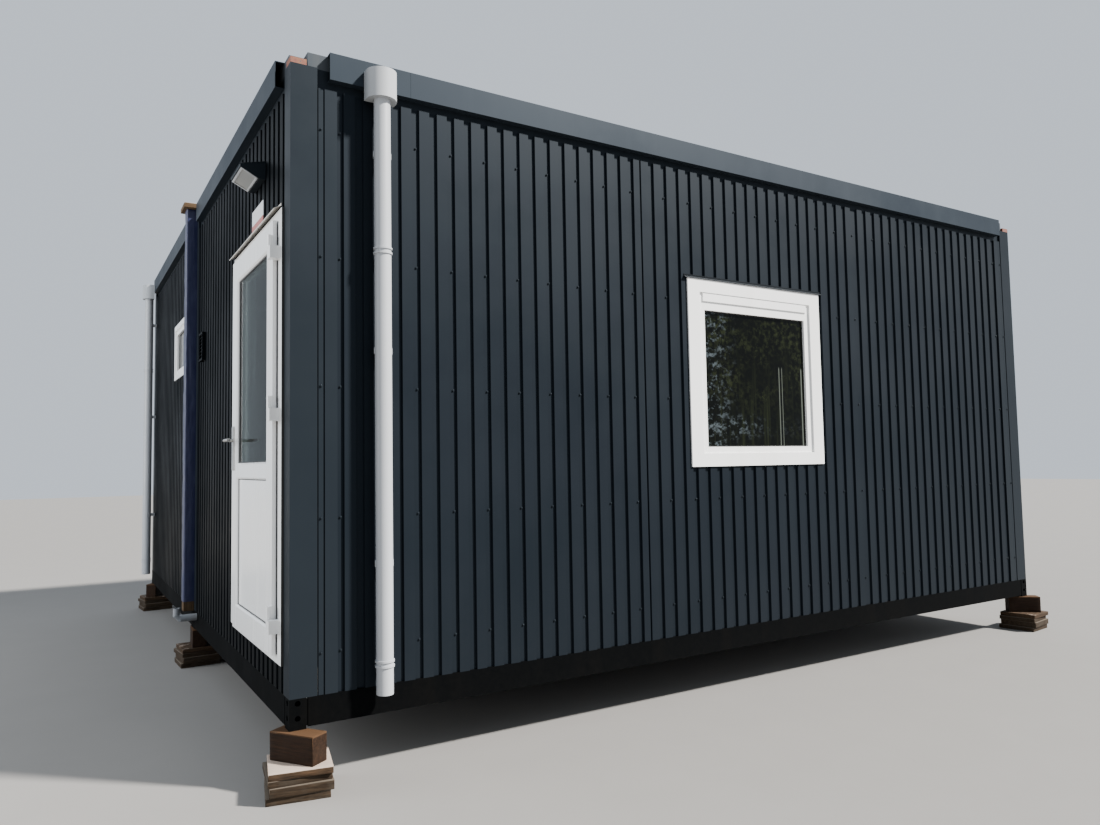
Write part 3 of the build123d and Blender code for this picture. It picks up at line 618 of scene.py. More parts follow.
def makeBrushedSteel(name, look):
    # steel with fine lines along one way
    material, tree, shader = newMaterial(name, look)
    place = placeIn(tree)
    lines = noiseAt(tree, place, *look["lines"])
    fillInputs(tree, shader, {
        "Base Color": mixColour(tree, noiseMask(tree, place, look["cloud"]), look["colour"], look["dull"]),
        "Roughness": addRamp(tree, lines, look["roughLevels"]),
    })
    addBump(tree, shader, lines, look["bump"])
    return material


handleSteel = makeBrushedSteel("handleSteel", {
    "colour": (0.56, 0.55, 0.53),
    "dull": (0.42, 0.41, 0.39),
    "cloud": ((12.0, 4.0, 0.6), (0.35, 0.7)),
    "lines": (90.0, 3.0, 0.6, (1, 1, 0.06)),
    "roughness": 0.3,
    "roughLevels": (0.2, 0.8, 0.22, 0.44),
    "bump": 0.0002,
    "Metallic": 1.0,
})


def makePrimer(name, look):
    # reddish primer that weather has rusted in patches and worn to the steel in spots
    material, tree, shader = newMaterial(name, look)
    place = placeIn(tree)
    rusty = mixColour(tree, noiseMask(tree, place, look["rustPatch"]), look["colour"], look["rust"])
    worn = mixColour(tree, noiseMask(tree, place, look["bareSpot"]), rusty, look["steel"])
    fillInputs(tree, shader, {"Base Color": worn})
    addBump(tree, shader, noiseAt(tree, place, *look["grit"]), look["bump"])
    return material


primerPaint = makePrimer("primerPaint", {
    "colour": (0.150, 0.038, 0.021),
    "rust": (0.17, 0.065, 0.022),
    "rustPatch": ((22.0, 6.0, 0.65), (0.48, 0.62)),
    "steel": (0.05, 0.045, 0.042),
    "bareSpot": ((46.0, 5.0, 0.7), (0.58, 0.66)),
    "roughness": 0.72,
    "grit": (120.0, 5.0, 0.7),
    "bump": 0.0012,
})


def makeTimber(name, look):
    # sawn timber with its grain, rings at the ends, weathering and patches of paint
    material, tree, shader = newMaterial(name, look)
    grain = useGroup(tree, grainGroup, {"Grain Scale": look["grainScale"], "Ring Scale": look["ringScale"]})
    wood = mixColour(tree, addRamp(tree, grain["Grain"], look["grainLevels"]), look["dark"], look["colour"])
    ringed = mixColour(tree, times(tree, grain["Rings"], look["ringDepth"]), wood, look["dark"])
    silver = times(tree, addRamp(tree, grain["Weather"], look["weatherLevels"]), look["weather"])
    grey = mixColour(tree, silver, ringed, look["grey"])
    chips = addRamp(tree, grain["Weather"], look["chipLevels"])
    left = addMath(tree, "SUBTRACT", readMap(tree, "paintMap", "Fac"), chips)
    cover = addRamp(tree, left, look["coverLevels"])
    painted = mixColour(tree, grain["Grain"], look["paintDull"], look["paint"])
    fillInputs(tree, shader, {"Base Color": mixColour(tree, cover, grey, painted)})
    grainHigh = times(tree, grain["Grain"], look["grainHigh"])
    coverHigh = times(tree, cover, look["coverHigh"])
    addBump(tree, shader, addMath(tree, "ADD", grainHigh, coverHigh), look["bump"])
    return material


timberLook = {
    "colour": (0.052, 0.034, 0.020),
    "dark": (0.014, 0.009, 0.0055),
    "grainScale": 26.0,
    "grainLevels": (0.34, 0.64),
    "ringScale": 9.0,
    "ringDepth": 0.35,
    "grey": (0.040, 0.032, 0.023),
    "weather": 0.75,
    "weatherLevels": (0.42, 0.66),
    "paint": (0.44, 0.36, 0.30),
    "paintDull": (0.26, 0.20, 0.155),
    "chipLevels": (0.3, 0.75, 0, 0.5),
    "coverLevels": (0.35, 0.5),
    "roughness": 0.78,
    "grainHigh": 0.8,
    "coverHigh": 0.25,
    "bump": 0.0022,
    "Specular IOR Level": 0.12,
}
weatheredTimber = makeTimber("weatheredTimber", {
    **timberLook,
    "paint": (0.105, 0.086, 0.066),
    "paintDull": (0.066, 0.052, 0.039),
})
paintedTimber = makeTimber("paintedTimber", {
    **timberLook,
    "colour": (0.075, 0.044, 0.024),
    "weather": 0.25,
})
brownTimber = makeTimber("brownTimber", {
    **timberLook,
    "colour": (0.030, 0.0145, 0.0072),
    "dark": (0.008, 0.0042, 0.0024),
    "grey": (0.022, 0.013, 0.008),
    "weather": 0.5,
    "paint": (0.080, 0.042, 0.020),
    "paintDull": (0.040, 0.020, 0.009),
})
seamTimber = makeTimber("seamTimber", {
    **timberLook,
    "colour": (0.13, 0.085, 0.045),
    "dark": (0.05, 0.029, 0.015),
    "weather": 0.4,
})


def makeCloth(name, look):
    # woven plastic sheeting: a tight tape weave, rubbed paler and duller in places
    material, tree, shader = newMaterial(name, look)
    local = readMap(tree, "clothMap")
    tape = {"Vector": local, **look["tape"]}
    tapes = (addNode(tree, "ShaderNodeTexWave", tape, bands_direction=way) for way in ("X", "Y"))
    weave = times(tree, *(wave.outputs["Fac"] for wave in tapes))
    rub = noiseMask(tree, local, look["rub"])
    faded = mixColour(tree, rub, look["colour"], look["pale"])
    fillInputs(tree, shader, {
        "Base Color": mixColour(tree, times(tree, weave, look["weave"]), faded, look["pale"]),
        "Roughness": addRamp(tree, rub, look["roughLevels"]),
    })
    addBump(tree, shader, weave, look["bump"])
    return material


wrapCloth = makeCloth("wrapCloth", {
    "colour": (0.0070, 0.0105, 0.049),
    "pale": (0.0150, 0.0210, 0.068),
    "tape": {"Scale": 31.0, "Distortion": 0.4},
    "weave": 0.3,
    "rub": ((9.0, 6.0, 0.7), (0.45, 0.75)),
    "roughness": 0.42,
    "roughLevels": (0, 1, 0.42, 0.62),
    "bump": 0.0004,
    "Sheen Weight": 0.08,
    "Sheen Roughness": 0.4,
})


def makeGlass(name, look):
    # a sealed pane: dark or tinted, with faint streaks left by rain in its roughness, and painted
    # reflection in its colour: tall streaks and leafy specks
    material, tree, shader = newMaterial(name, look)
    place = placeIn(tree)
    reflectionToned = mixColour(tree, noiseMask(tree, place, look["tall"]), look["colour"], look["tone"])
    leafy = times(tree, noiseMask(tree, place, look["leafy"]), look["speck"])
    fillInputs(tree, shader, {
        "Base Color": mixColour(tree, leafy, reflectionToned, look["speckColour"]),
        "Roughness": noiseMask(tree, place, look["streak"]),
    })
    return material


paneLook = {
    "colour": (0.0030, 0.0036, 0.0026),
    "tone": (0.0085, 0.0105, 0.0060),
    "tall": ((2.6, 4.0, 0.6, (1, 1, 0.22)), (0.45, 0.75)),
    "leafy": ((10.4, 6.0, 0.7), (0.52, 0.72)),
    # share of the leafy specks of painted reflection
    "speck": 0.35,
    "speckColour": (0.020, 0.023, 0.018),
    "streak": ((30.0, 3.0, 0.6, (1, 1, 0.05)), (0.4, 0.8, 0.03, 0.11)),
    "roughness": 0.03,
    "IOR": 1.28,
}
smallPane = makeGlass("smallPane", paneLook)
doorPane = makeGlass("doorPane", {
    **paneLook,
    "colour": (0.42, 0.49, 0.48),
    "tone": (0.38, 0.46, 0.45),
    "tall": ((2.0, 4.0, 0.6, (1, 1, 0.22)), (0.45, 0.75)),
    "speck": 0.0,
    "streak": ((30.0, 3.0, 0.6, (1, 1, 0.05)), (0.4, 0.8, 0.02, 0.10)),
    "roughness": 0.02,
    "IOR": 1.06,
    "Transmission Weight": 1.0,
})


def makeReflectionPane(name, look):
    # the dark front pane, with a painted reflection of trees, poles and bright sky in its colour
    low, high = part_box("front_window_glass")
    material, tree, shader = newMaterial(name, look)
    place = placeIn(tree)
    axes = axesOf(tree, place)
    across = addRamp(tree, axes["X"], (low.x, high.x))
    rise = addRamp(tree, axes["Z"], (low.z, high.z))
    patterns = (look[key] for key in ("clump", "leaves", "trunk", "gap"))
    clumps, leaves, trunks, gaps = (noiseMask(tree, place, pattern) for pattern in patterns)
    crowns = times(tree, times(tree, clumps, leaves), addRamp(tree, rise, look["crownRise"]))
    stems = times(tree, trunks, addRamp(tree, rise, look["trunkRise"]))
    seen = mixColour(tree, addMath(tree, "MAXIMUM", crowns, stems), look["colour"], look["leaf"])
    band = times(tree, *(addRamp(tree, rise, levels) for levels in look["bandRise"]))
    bright = times(tree, band, addRamp(tree, across, look["bandAcross"]))
    openings = addMath(tree, "MAXIMUM", addRamp(tree, across, look["edgeAcross"]), bright)
    seen = mixColour(tree, times(tree, gaps, openings), seen, look["sky"])
    poleTop = addRamp(tree, rise, look["poleRise"])
    for middle, half in look["poles"]:
        share = half / (high.x - low.x)
        away = addMath(tree, "ABSOLUTE", addMath(tree, "SUBTRACT", across, middle))
        slim = addRamp(tree, away, (share, share * look["poleSoft"], 1, 0))
        seen = mixColour(tree, times(tree, slim, poleTop), seen, look["pole"])
    fillInputs(tree, shader, {"Base Color": seen})
    return material


reflectionPane = makeReflectionPane("paintedReflectionPane", {
    "colour": (0.0016, 0.0019, 0.0015),
    "leaf": (0.0150, 0.0185, 0.0075),
    "clump": ((4.5, 3.0, 0.5), (0.36, 0.60, 0.15, 1)),
    "leaves": ((30.0, 6.0, 0.75), (0.47, 0.66)),
    "crownRise": (0.25, 0.55, 0.35, 1),
    "trunk": ((34.0, 2.0, 0.5, (1, 1, 0.04)), (0.50, 0.72, 0, 0.5)),
    "trunkRise": (0.35, 0.75, 1, 0.1),
    "sky": (0.060, 0.074, 0.082),
    "gap": ((24.0, 5.0, 0.7, (1, 1, 1.3)), (0.52, 0.64)),
    "edgeAcross": (0.02, 0.32, 1, 0),
    "bandAcross": (0.3, 0.6, 0.9, 0.1),
    "bandRise": ((0.04, 0.14), (0.16, 0.26, 1, 0)),
    "pole": (0.070, 0.078, 0.066),
    "poles": ((0.735, 0.0022), (0.765, 0.0015), (0.972, 0.0035)),   # middle and half width
    "poleSoft": 2.4,
    "poleRise": (0.60, 0.62, 1, 0),
    "roughness": 0.03,
    "IOR": 1.2,
})
print("finishes made")


for material, names in (
    (basePaint, "base_castings base_beams floor_joists"),
    (postPaint, "corner_posts edge_flashings top_rails lamp_housing"),
    (primerPaint, "corner_plates"),
    (cladPaint, "front_cladding back_cladding right_cladding"),
    (shadedCladPaint, "left_cladding wall_vent"),
    (fasciaPaint, "fascias"),
    (roofPaint, "roof_decks"),
    (floorVinyl, "floors"),
    (liningWhite, "ceilings joint_covers front_wall back_wall left_walls over_door_wall right_walls"),
    (whitePvc, "front_window_frame front_window_sash front_window_vent"),
    (whitePvc, "small_window_frame small_window_sash"),
    (whitePvc, "door_frame door_leaf door_panel frame_hinges leaf_hinges"),
    (reflectionPane, "front_window_glass"),
    (smallPane, "small_window_glass"),
    (doorPane, "door_glass"),
    (handleSteel, "outside_handle inside_handle"),
    (lensPlastic, "lamp_lens"),
    (headPaint, "rainwater_heads"),
    (pipePlastic, "front_downpipe end_downpipe pipe_brackets"),
    (wastePlastic, "waste_pipes"),
):
    for name in names.split():
        coverWith(nodes[name], material)
print("frame nodes dressed")


def sideAt(side, along, depth, z):
    # a point on a wall: depth runs into the building from the outer face of the corner posts,
    # and z is measured from the ground
    x, y = {
        "front": (along, depth),
        "back": (along, annexWidth - depth),
        "left": (depth, along),
        "right": (annexLength - depth, along),
    }[side]
    return Vector((corner.x + x, corner.y + y, z))


def sideTurn(side):
    # turns a piece made with its face towards +Z and its top towards +Y to stand on a wall
    out = Vector({"front": (0, -1, 0), "back": (0, 1, 0), "left": (-1, 0, 0), "right": (1, 0, 0)}[side])
    up = Vector((0, 0, 1))
    return turnTo(up.cross(out), up, out)


# hex screws with washers in the pans of the cladding and down the folded strips
screwSettings = {
    "head": 0.0048,
    "headHigh": 0.0045,
    "headSides": 6,
    "domeInset": 0.25,     # shares of the head's radius and height
    "domeRise": 0.15,
    "washer": 0.0078,
    "washerHigh": 0.0014,
    "washerSides": 12,
    "rows": (0.325, 0.935, 1.545, 2.155, 2.765),
    "pitch": 0.097,
    "panCentre": 0.080,
    "panDepth": 0.012,
    "mostPans": 60,
    "frontSheets": (0.252, 2.054, 4.027),
    "lastSheetEnd": 0.23,
    "sheetEdge": 0.01,
    "endSheet": 0.146,
    "endEdges": 0.3,
    "moduleGap": 0.03,
    "lipFromEnd": 0.1425,
    "lipDepth": 0.003,
    "firstPan": 0.2355,
    "clear": 0.03,
    "clearAbove": 0.06,
}


def makeScrew():
    s = screwSettings
    washer = startDisc("screwWasher", 0, s["washer"], s["washerHigh"], s["washerSides"])
    head = startDisc("screwHead", s["washerHigh"], s["head"], s["headHigh"], s["headSides"])
    selectParts(head, "FACE", lambda face: face.normal.z > 0.9)
    bpy.ops.mesh.inset(thickness=s["head"] * s["domeInset"])
    bpy.ops.transform.translate(value=(0, 0, s["headHigh"] * s["domeRise"]))
    leaveEdit()
    return joinPieces([washer, head], "screwPattern")


def openingsOn(side):
    # the boxes along and up each wall that screws keep out of
    found = []
    frames = {"front": ("front_window_frame",), "left": ("small_window_frame", "door_frame")}
    axis = 0 if side == "front" else 1
    for node in frames.get(side, ()):
        low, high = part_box(node)
        found.append((low[axis] - corner[axis], high[axis] - corner[axis], low.z, high.z))
    return found


def screwPlaces(side):
    # how far along a wall and how deep: in every second pan, and at the edges of the long walls
    s = screwSettings
    places = []
    if side in ("front", "back"):
        ends = (*s["frontSheets"][1:], annexLength - s["lastSheetEnd"])
        for sheetStart, sheetEnd in zip(s["frontSheets"], ends):
            alongs = [sheetStart + s["panCentre"] + n * s["pitch"] for n in range(1, s["mostPans"], 2)]
            places += [(along, s["panDepth"]) for along in alongs if along < sheetEnd - s["sheetEdge"]]
        for fromEnd, depth in ((s["firstPan"], s["panDepth"]), (s["lipFromEnd"], s["lipDepth"])):
            places += [(fromEnd, depth), (annexLength - fromEnd, depth)]
        return places
    moduleWidth = (annexWidth - s["moduleGap"]) / 2
    count = int((moduleWidth - s["endEdges"]) / s["pitch"])
    for start in (0, moduleWidth + s["moduleGap"]):
        alongs = [start + s["endSheet"] + s["panCentre"] + n * s["pitch"] for n in range(1, count, 2)]
        places += [(along, s["panDepth"]) for along in alongs]
    return places


def placeScrews(side, pattern):
    s = screwSettings
    turn = sideTurn(side)
    blocked = openingsOn(side)
    copies = []
    for along, depth in screwPlaces(side):
        for row in s["rows"]:
            z = corner.z + row
            if any(
                a - s["clear"] < along < b + s["clear"] and c - s["clear"] < z < d + s["clearAbove"]
                for a, b, c, d in blocked
            ):
                continue
            spin = Matrix.Rotation(random.uniform(0, math.pi), 4, "Z")
            screw = pattern.copy()
            screw.data = pattern.data.copy()
            bpy.context.scene.collection.objects.link(screw)
            screw.data.transform(Matrix.Translation(sideAt(side, along, depth, z)) @ turn @ spin)
            copies.append(screw)
    finishPiece(joinPieces(copies, side + "WallScrews"), postPaint)


random.seed(11)
screwPattern = makeScrew()
for wall in ("front", "back", "left", "right"):
    placeScrews(wall, screwPattern)
bpy.data.objects.remove(screwPattern, do_unlink=True)
print("screws placed")


# support stacks and joint boards: sawn planks and blocks with worn edges
timberSettings = {
    "edge": 0.0022,
    "wobble": 0.0011,
    "faceScale": 38,
    "edgeScale": 22,
    "edgeWobble": 2.2,
    "edgeBand": 0.006,
    "topBand": 0.0035,
    "leastFace": 0.0004,
    "smooth": 40,
    "shift": ((1.37, 5), (2.11, 7), (0.73, 3)),
    "mapShift": 0.35,
    "seedStep": 3.7,
    "cuts": 9,
    "boardCuts": 60,
    "nearStack": 0.7,      # stacks nearer than this to the corner keep all their paint; the tops of the others get less of it, as painted shade
    "paint": 1.0,
    "shadedPaint": 0.5,
}


def makeTimberPiece(name, size, seed, cuts, upright, topPaint):
    # a sawn piece about the origin, which carries its own grain map and a mask of its top
    s = timberSettings
    half = Vector(size) / 2
    obj = startBlock(name, -half, half)
    softenEdges(obj, s["edge"])
    selectParts(obj, "FACE", lambda face: face.area > s["leastFace"])
    bpy.ops.mesh.subdivide(number_cuts=cuts)
    leaveEdit()
    shift = Vector([seed * rate % span for rate, span in s["shift"]])
    for vertex in obj.data.vertices:
        where = vertex.co
        inward = -where.normalized()
        edgesNear = sum(abs(abs(where[i]) - half[i]) < s["edgeBand"] for i in range(3))
        amount = noise.noise((where + shift) * s["faceScale"]) * s["wobble"]
        if edgesNear > 1:
            amount = abs(noise.noise((where + shift) * s["edgeScale"])) * s["wobble"] * s["edgeWobble"]
        vertex.co = where + inward * max(amount, 0)
    # both maps are made before either is opened, because a new one moves the others
    obj.data.attributes.new("grainMap", "FLOAT_VECTOR", "POINT")
    obj.data.attributes.new("paintMap", "FLOAT", "POINT")
    grain = obj.data.attributes["grainMap"].data
    paint = obj.data.attributes["paintMap"].data
    for index, vertex in enumerate(obj.data.vertices):
        p = vertex.co + shift * s["mapShift"]
        grain[index].vector = (p.z, p.y, p.x) if upright else p
        paint[index].value = topPaint if vertex.co.z > half.z - s["topBand"] else 0.0
    return smoothByAngle(obj, s["smooth"])


def solidBoxes(node):
    # the place, size and turn of each loose block in a node, read from the node's own mesh
    mesh = nodes[node].data
    places = [tuple(round(c, 5) for c in vertex.co) for vertex in mesh.vertices]
    pairs = [tuple(edge.vertices) for edge in mesh.edges]
    firsts = {}
    for index, place in enumerate(places):
        if firsts.setdefault(place, index) != index:
            pairs.append((firsts[place], index))
    links = {}
    for a, b in pairs:
        links.setdefault(a, set()).add(b)
        links.setdefault(b, set()).add(a)
    seen = set()
    found = []
    for start in range(len(places)):
        if start in seen:
            continue
        stack = [start]
        members = set()
        while stack:
            current = stack.pop()
            if current not in members:
                members.add(current)
                stack.extend(links[current] - members)
        seen |= members
        found.append(describeBox([Vector(p) for p in {places[i] for i in members}]))
    return found


def describeBox(points):
    # a box that stands upright but may be turned: centre, size and turn about Z
    centre = sum(points, Vector()) / len(points)
    heights = [p.z for p in points]
    upper = [p for p in points if p.z > centre.z]
    ring = sorted(upper, key=lambda p: math.atan2(p.y - centre.y, p.x - centre.x))
    sides = (ring[1] - ring[0], ring[2] - ring[1])
    longSide, shortSide = sides if sides[0].length > sides[1].length else sides[::-1]
    size = Vector((longSide.length, shortSide.length, max(heights) - min(heights)))
    return centre, size, math.atan2(longSide.y, longSide.x)


def stackTimber(node, name, material, slotName, seed, cuts="cuts", upright=False, farPaint="paint"):
    s = timberSettings
    pieces = []
    for index, (centre, size, turn) in enumerate(solidBoxes(node)):
        # top planks of the far stacks get a smaller share of paint: painted shade for the stacks in shadow
        topPaint = s["paint" if (centre - corner).length < s["nearStack"] else farPaint]
        pieceSeed = seed + index * s["seedStep"]
        piece = makeTimberPiece(name + "Part", size, pieceSeed, s[cuts], upright, topPaint)
        flip = Matrix.Rotation(turn + (math.pi if index % 2 else 0), 4, "Z")
        piece.data.transform(Matrix.Translation(centre) @ flip)
        pieces.append(piece)
    whole = joinPieces(pieces, name)
    finishPiece(whole, material)
    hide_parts(node)


for row in (
    ("support_planks_lowest", "planksLowest", weatheredTimber, "weathered_timber", 1),
    ("support_planks_second", "planksSecond", weatheredTimber, "weathered_timber", 5),
    ("support_planks_third", "planksThird", weatheredTimber, "weathered_timber", 9),
    ("support_planks_top", "planksTop", paintedTimber, "painted_timber", 13, "cuts", False, "shadedPaint"),
    ("support_blocks", "supportBlocks", brownTimber, "brown_timber", 17),
    ("roof_seam_board", "seamBoard", seamTimber, "seam_timber", 21, "boardCuts"),
    ("joint_battens", "jointBattens", seamTimber, "seam_timber", 27, "boardCuts", True),
):
    stackTimber(*row)
print("timber stacked")


# cloth wraps round the two joint battens
wrapSettings = {
    "across": 34,
    "up": 230,
    "solid": 0.004,        # how thick the CAD's wrap is
    "lift": 0.0012,
    "corner": 0.007,
    "bends": 6,
    "ties": (0.09, 0.31, 0.55, 0.79, 0.965),
    "tieWidth": 0.02,
    "tieSlack": 0.12,
    "slackRise": 0.22,
    "edgeWidth": 0.02,
    "cloth": 0.0007,
    "smooth": 60,
    "creaseHigh": 0.0042,
    "creases": (           # noise scales across and up, shift of its seed, sharpness and share
        ((26, 0), (0, 1.3), 0, 2.2, 0.45),
        ((34, 9), (-10, 7), 4, 2.6, 0.4),
        ((60, 0), (0, 24), 9, 0, 0.25),
    ),
    "ridgeShare": 0.5,
    "ridgeBase": 0.25,
}


def wrapPath(half, reach, radius):
    # the line round the batten as (along, out) points with rounded corners
    bends = wrapSettings["bends"]
    points = [(-half, 0.0)]
    for centre, first in ((-half + radius, math.pi), (half - radius, math.pi / 2)):
        for step in range(bends + 1):
            angle = first - step / bends * math.pi / 2
            points.append((centre + radius * math.cos(angle), reach - radius + radius * math.sin(angle)))
    points.append((half, 0.0))
    return points


def pointOnPath(points, distance):
    # the point at a distance along the line, and the way out of the line there
    for (x0, y0), (x1, y1) in zip(points, points[1:]):
        length = math.hypot(x1 - x0, y1 - y0)
        if distance <= length or (x1, y1) == points[-1]:
            t = min(distance / length, 1)
            return x0 + (x1 - x0) * t, y0 + (y1 - y0) * t, (-(y1 - y0) / length, (x1 - x0) / length)
        distance -= length


def creaseHeight(u, z, seed):
    # long folds that run up the cloth, short slanting creases across them, and a fine crumple
    s = wrapSettings
    ridge = 0.0
    for (au, az), (bu, bz), shift, sharp, share in s["creases"]:
        level = noise.noise(Vector((u * au + z * az, u * bu + z * bz, seed + shift)))
        ridge += (1 - abs(level) * sharp if sharp else level) * share
    return max(0.0, min(1.0, ridge * s["ridgeShare"] + s["ridgeBase"]))


def makeWrap(side, seed):
    s = wrapSettings
    low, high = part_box(side + "_joint_wrap")
    middle = (low.y + high.y) / 2 - corner.y
    half = (high.y - low.y) / 2 - s["solid"] + s["lift"]
    reach = (high.x - low.x) - s["solid"] + s["lift"]
    path = wrapPath(half, reach, s["corner"])
    total = sum(math.hypot(b[0] - a[0], b[1] - a[1]) for a, b in zip(path, path[1:]))
    obj = startGrid(side + "Wrap", s["across"], s["up"])
    cloth = obj.data.attributes.new("clothMap", "FLOAT_VECTOR", "POINT")
    for index, vertex in enumerate(obj.data.vertices):
        u, v = vertex.co.x + 0.5, vertex.co.y + 0.5
        z = low.z + (high.z - low.z) * v
        along, out, (nx, ny) = pointOnPath(path, u * total)
        tie = min(abs(v - t) * (high.z - low.z) / s["tieWidth"] for t in s["ties"])
        slack = min(1.0, s["tieSlack"] + tie * s["slackRise"])
        edge = min(1.0, min(u, 1 - u) * total / s["edgeWidth"])
        crease = s["creaseHigh"] * creaseHeight(u * total, z, seed) * slack * edge
        along += nx * crease
        out += ny * crease
        cloth.data[index].vector = (u * total, z, 0)
        vertex.co = sideAt(side, middle + along, -out, z)
    applyModifier(obj, "SOLIDIFY", thickness=s["cloth"], offset=0)
    smoothByAngle(obj, s["smooth"])
    finishPiece(obj, wrapCloth)
    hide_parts(side + "_joint_wrap")


makeWrap("left", 3.1)
makeWrap("right", 8.7)
print("cloth wraps made")


# black gaskets round the panes and the door's panel
gasketSettings = {"band": 0.0055, "proud": 0.002, "edge": 0.0006}


def addGasket(node, side, name, body="building"):
    g = gasketSettings
    low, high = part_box(node)
    across, inward = (0, 1) if side == "front" else (1, 0)
    size = (high[across] - low[across], high.z - low.z)
    loop = startLoop(name, size, g["band"], g["proud"], g["edge"])
    centre = (low + high) / 2
    centre[inward] = low[inward]
    loop.data.transform(Matrix.Translation(centre) @ sideTurn(side))
    finishPiece(smoothByAngle(loop), rubberAndShade, body)


addGasket("front_window_glass", "front", "windowGasket")
addGasket("small_window_glass", "left", "smallWindowGasket")
addGasket("door_glass", "left", "doorGlassGasket", "door")
addGasket("door_panel", "left", "doorPanelGasket", "door")
print("gaskets fitted")


def placeOnWall(obj, side, depth=0.0):
    # moves a piece made in (along, height, out) places onto a near wall
    rowX, rowY = (1, 0, 0, corner.x), (0, 0, -1, corner.y + depth)
    if side == "left":
        # this way round mirrors the piece, so its faces are turned the right way out again
        rowX, rowY = (0, 0, -1, corner.x + depth), (1, 0, 0, corner.y)
        obj.data.flip_normals()
    obj.data.transform(Matrix((rowX, rowY, (0, 1, 0, corner.z), (0, 0, 0, 1))))
    obj.data.update()
    return obj


# a plain two-colour plate over the door, with nothing written on it
plateSettings = {
    "along": (0.548, 0.815),
    "height": (2.446, 2.562),
    "thick": 0.003,
    "corner": 0.008,
    "edge": 0.3,           # share of the thickness
    "band": 0.036,
    "bandThick": 0.0036,
    "bandCorner": 0.0048,
    "bandOut": 0.0002,
}


def makePlate(name, height, thick, cornerSize):
    s = plateSettings
    (near, far), (bottom, top) = s["along"], height
    obj = startBlock(name, (near, bottom, 0), (far, top, thick))

    def isAcross(edge):
        a, b = (obj.data.vertices[i].co for i in edge.vertices)
        return abs(a.z - b.z) > thick / 2

    selectParts(obj, "EDGE", isAcross)
    bpy.ops.mesh.bevel(offset=cornerSize, segments=5)
    leaveEdit()
    softenEdges(obj, thick * s["edge"], 1)
    return obj


def fitPlate():
    s = plateSettings
    bottom = s["height"][0]
    plate = makePlate("doorPlate", s["height"], s["thick"], s["corner"])
    finishPiece(placeOnWall(plate, "left"), signWhite)
    band = makePlate("doorPlateBand", (bottom, bottom + s["band"]), s["bandThick"], s["bandCorner"])
    finishPiece(placeOnWall(band, "left", -s["bandOut"]), signOrange)


fitPlate()
print("plate fitted")


# folded caps: a pale strip over the door and a darker, slightly bent one over the window
capSettings = {
    "thick": 0.0022,
    "edge": 0.0008,
    "smooth": 30,
    "steps": 24,
    "dips": 3.1,
    "frays": 11,
    "fray": 0.4,
}
doorCapSettings = {
    "section": ((0.0015, 2.4345), (0.0015, 2.4200), (0.0290, 2.4070), (0.0365, 2.4035), (0.0365, 2.3985)),
    "start": 0.163,
    "length": 1.118,
    "bend": 0.0022,
    "seed": 2.0,
}
windowCapSettings = {
    "section": ((0.0015, 2.3135), (0.0015, 2.3000), (0.0120, 2.2955), (0.0160, 2.2930), (0.0160, 2.2895)),
    "start": 2.363,
    "length": 1.228,
    "bend": 0.0020,
    "seed": 5.0,
}


def makeCap(name, side, cap):
    # a strip folded along its length from a section of (out, height) points, with a hand-bent line
    c = capSettings
    section, bend, seed = cap["section"], cap["bend"], cap["seed"]
    last = len(section) - 1
    obj = startGrid(name, c["steps"], last)
    for vertex in obj.data.vertices:
        u = vertex.co.x + 0.5
        out, height = section[round((vertex.co.y + 0.5) * last)]
        dip = noise.noise(Vector((u * c["dips"], seed, 0))) * bend
        fray = noise.noise(Vector((u * c["frays"], seed, 4))) * bend * c["fray"]
        share = out / max(p[0] for p in section)
        vertex.co = Vector((u * cap["length"], height + (dip + fray) * share, out))
    applyModifier(obj, "SOLIDIFY", thickness=c["thick"], offset=0)
    softenEdges(obj, c["edge"], 1, c["smooth"])
    smoothByAngle(obj, c["smooth"])
    obj.data.transform(Matrix.Translation((cap["start"], 0, 0)))
    return placeOnWall(obj, side)


doorCap = makeCap("doorCap", "left", doorCapSettings)
finishPiece(doorCap, creamMetal)
windowCap = makeCap("windowCap", "front", windowCapSettings)
finishPiece(windowCap, darkTrim)
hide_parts("rain_caps")
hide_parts("rain_caps")
print("rain caps folded")


# black strips down the door frame's edges and in the gap beside the leaf, shaped as sealant and a seal:
# painted shade of the gaps there
gapShadeSettings = {
    "edge": 0.0006,
    "inside": 0.003,
    "lap": 0.0002,
    "nearProud": 0.0004,
    "nearWidth": 0.0035,
    "farSunk": 0.003,
    "farWidth": 0.003,
    "leafOut": 0.003,
    "leafIn": 0.001,
    "leafSides": (0.0115, 0.0020),
    "leafShort": 0.004,
}


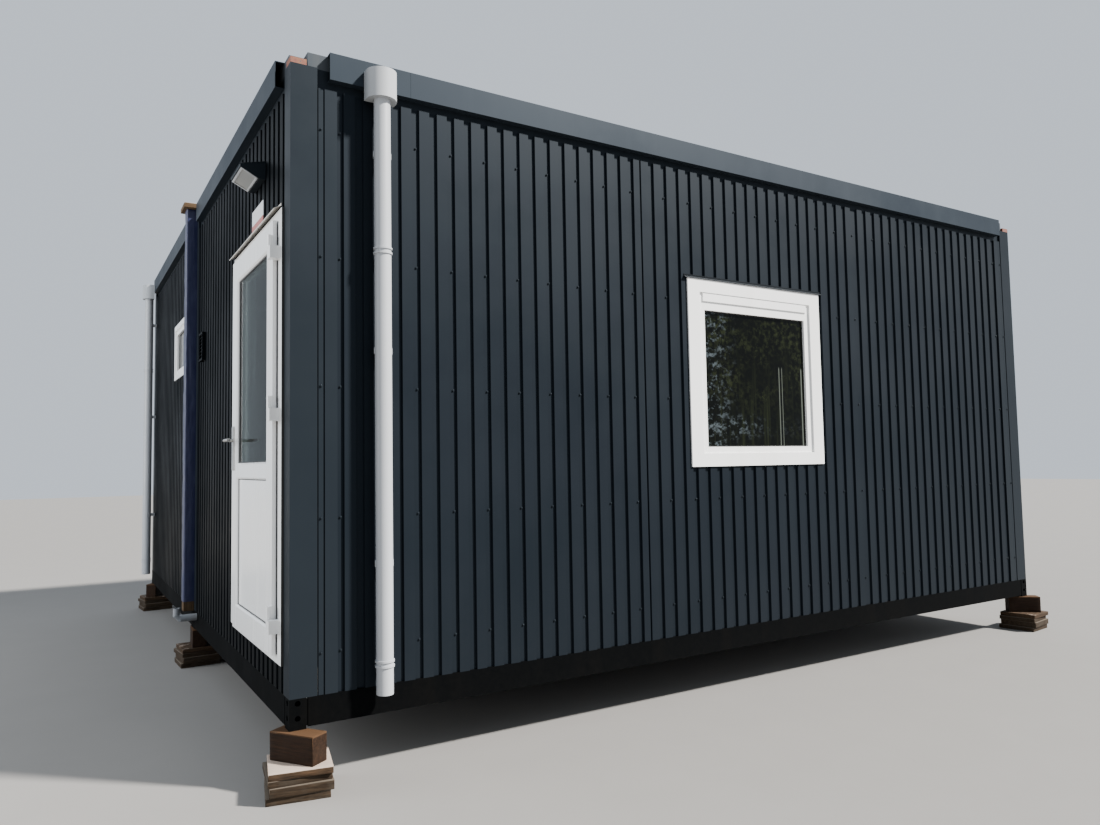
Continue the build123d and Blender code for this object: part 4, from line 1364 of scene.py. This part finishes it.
def shadeDoorGaps():
    s = gapShadeSettings
    low, high = (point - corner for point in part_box("door_frame"))
    leafLow, leafHigh = (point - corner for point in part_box("door_leaf"))
    sideNear, sideFar = s["leafSides"]
    strips = {
        "frameGapShadeNear": (
            (low.x - s["nearProud"], low.y - s["nearWidth"], low.z),
            (s["inside"], low.y + s["lap"], high.z),
        ),
        "frameGapShadeFar": (
            (low.x + s["farSunk"], high.y - s["lap"], low.z),
            (s["inside"], high.y + s["farWidth"], high.z),
        ),
        "leafGapShade": (
            (low.x - s["leafOut"], leafLow.y - sideNear, leafLow.z + s["leafShort"]),
            (low.x + s["leafIn"], leafLow.y - sideFar, leafHigh.z - s["leafShort"]),
        ),
    }
    for name, (start, end) in strips.items():
        strip = startBlock(name, corner + Vector(start), corner + Vector(end))
        softenEdges(strip, s["edge"])
        # the black of these strips paints the shade that falls in the gaps
        finishPiece(smoothByAngle(strip), rubberAndShade)


shadeDoorGaps()


# the lamp: a rim round its lens and a thin hood over it
lampSettings = {
    "rimFoot": 0.093,      # how far from the lamp's nose its lens starts
    "rimTop": 0.050,       # how high above the lamp's foot its lens ends
    "rimNarrow": 0.008,
    "rimBand": 0.011,
    "rimProud": 0.0035,
    "rimEdge": 0.0012,
    "lens": 0.0935,
    "hood": 0.0016,
    "hoodDrop": 0.030,
    "hoodShort": 0.010,
    "hoodPast": 0.003,
    "hoodEdge": 0.0005,
}


def dressLamp():
    s = lampSettings
    low, high = (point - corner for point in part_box("lamp_housing"))
    middleY = (low.y + high.y) / 2
    foot = Vector((low.x + s["rimFoot"], middleY, low.z))
    lip = Vector((low.x, middleY, low.z + s["rimTop"]))
    slope = (lip - foot).normalized()
    outward = Vector((slope.z, 0, -slope.x))
    if outward.z > 0:
        outward = -outward
    rimSize = (high.y - low.y - s["rimNarrow"], s["lens"])
    rim = startLoop("lampRim", rimSize, s["rimBand"], s["rimProud"], s["rimEdge"])
    rimTurn = turnTo(slope.cross(outward), slope, outward)
    rim.data.transform(Matrix.Translation(corner + (foot + lip) / 2) @ rimTurn)
    finishPiece(smoothByAngle(rim), lensRim)
    nose = Vector((low.x, middleY, high.z - s["hoodDrop"]))
    wallTop = Vector((0, middleY, high.z))
    run = (wallTop - nose).normalized()
    hoodUp = Vector((-run.z, 0, run.x))
    reach = (wallTop - nose).length / 2
    side = (high.y - low.y) / 2 + s["hoodPast"]
    thick = s["hood"] / 2
    hood = startBlock("lampHood", (s["hoodShort"] - reach, -side, -thick), (reach, side, thick))
    softenEdges(hood, s["hoodEdge"], 1)
    hoodPlace = Matrix.Translation(corner + (nose + wallTop) / 2 + hoodUp * thick)
    hood.data.transform(hoodPlace @ turnTo(run, (0, 1, 0), hoodUp))
    finishPiece(smoothByAngle(hood), postPaint)


dressLamp()
print("lamp and gapShades fitted")
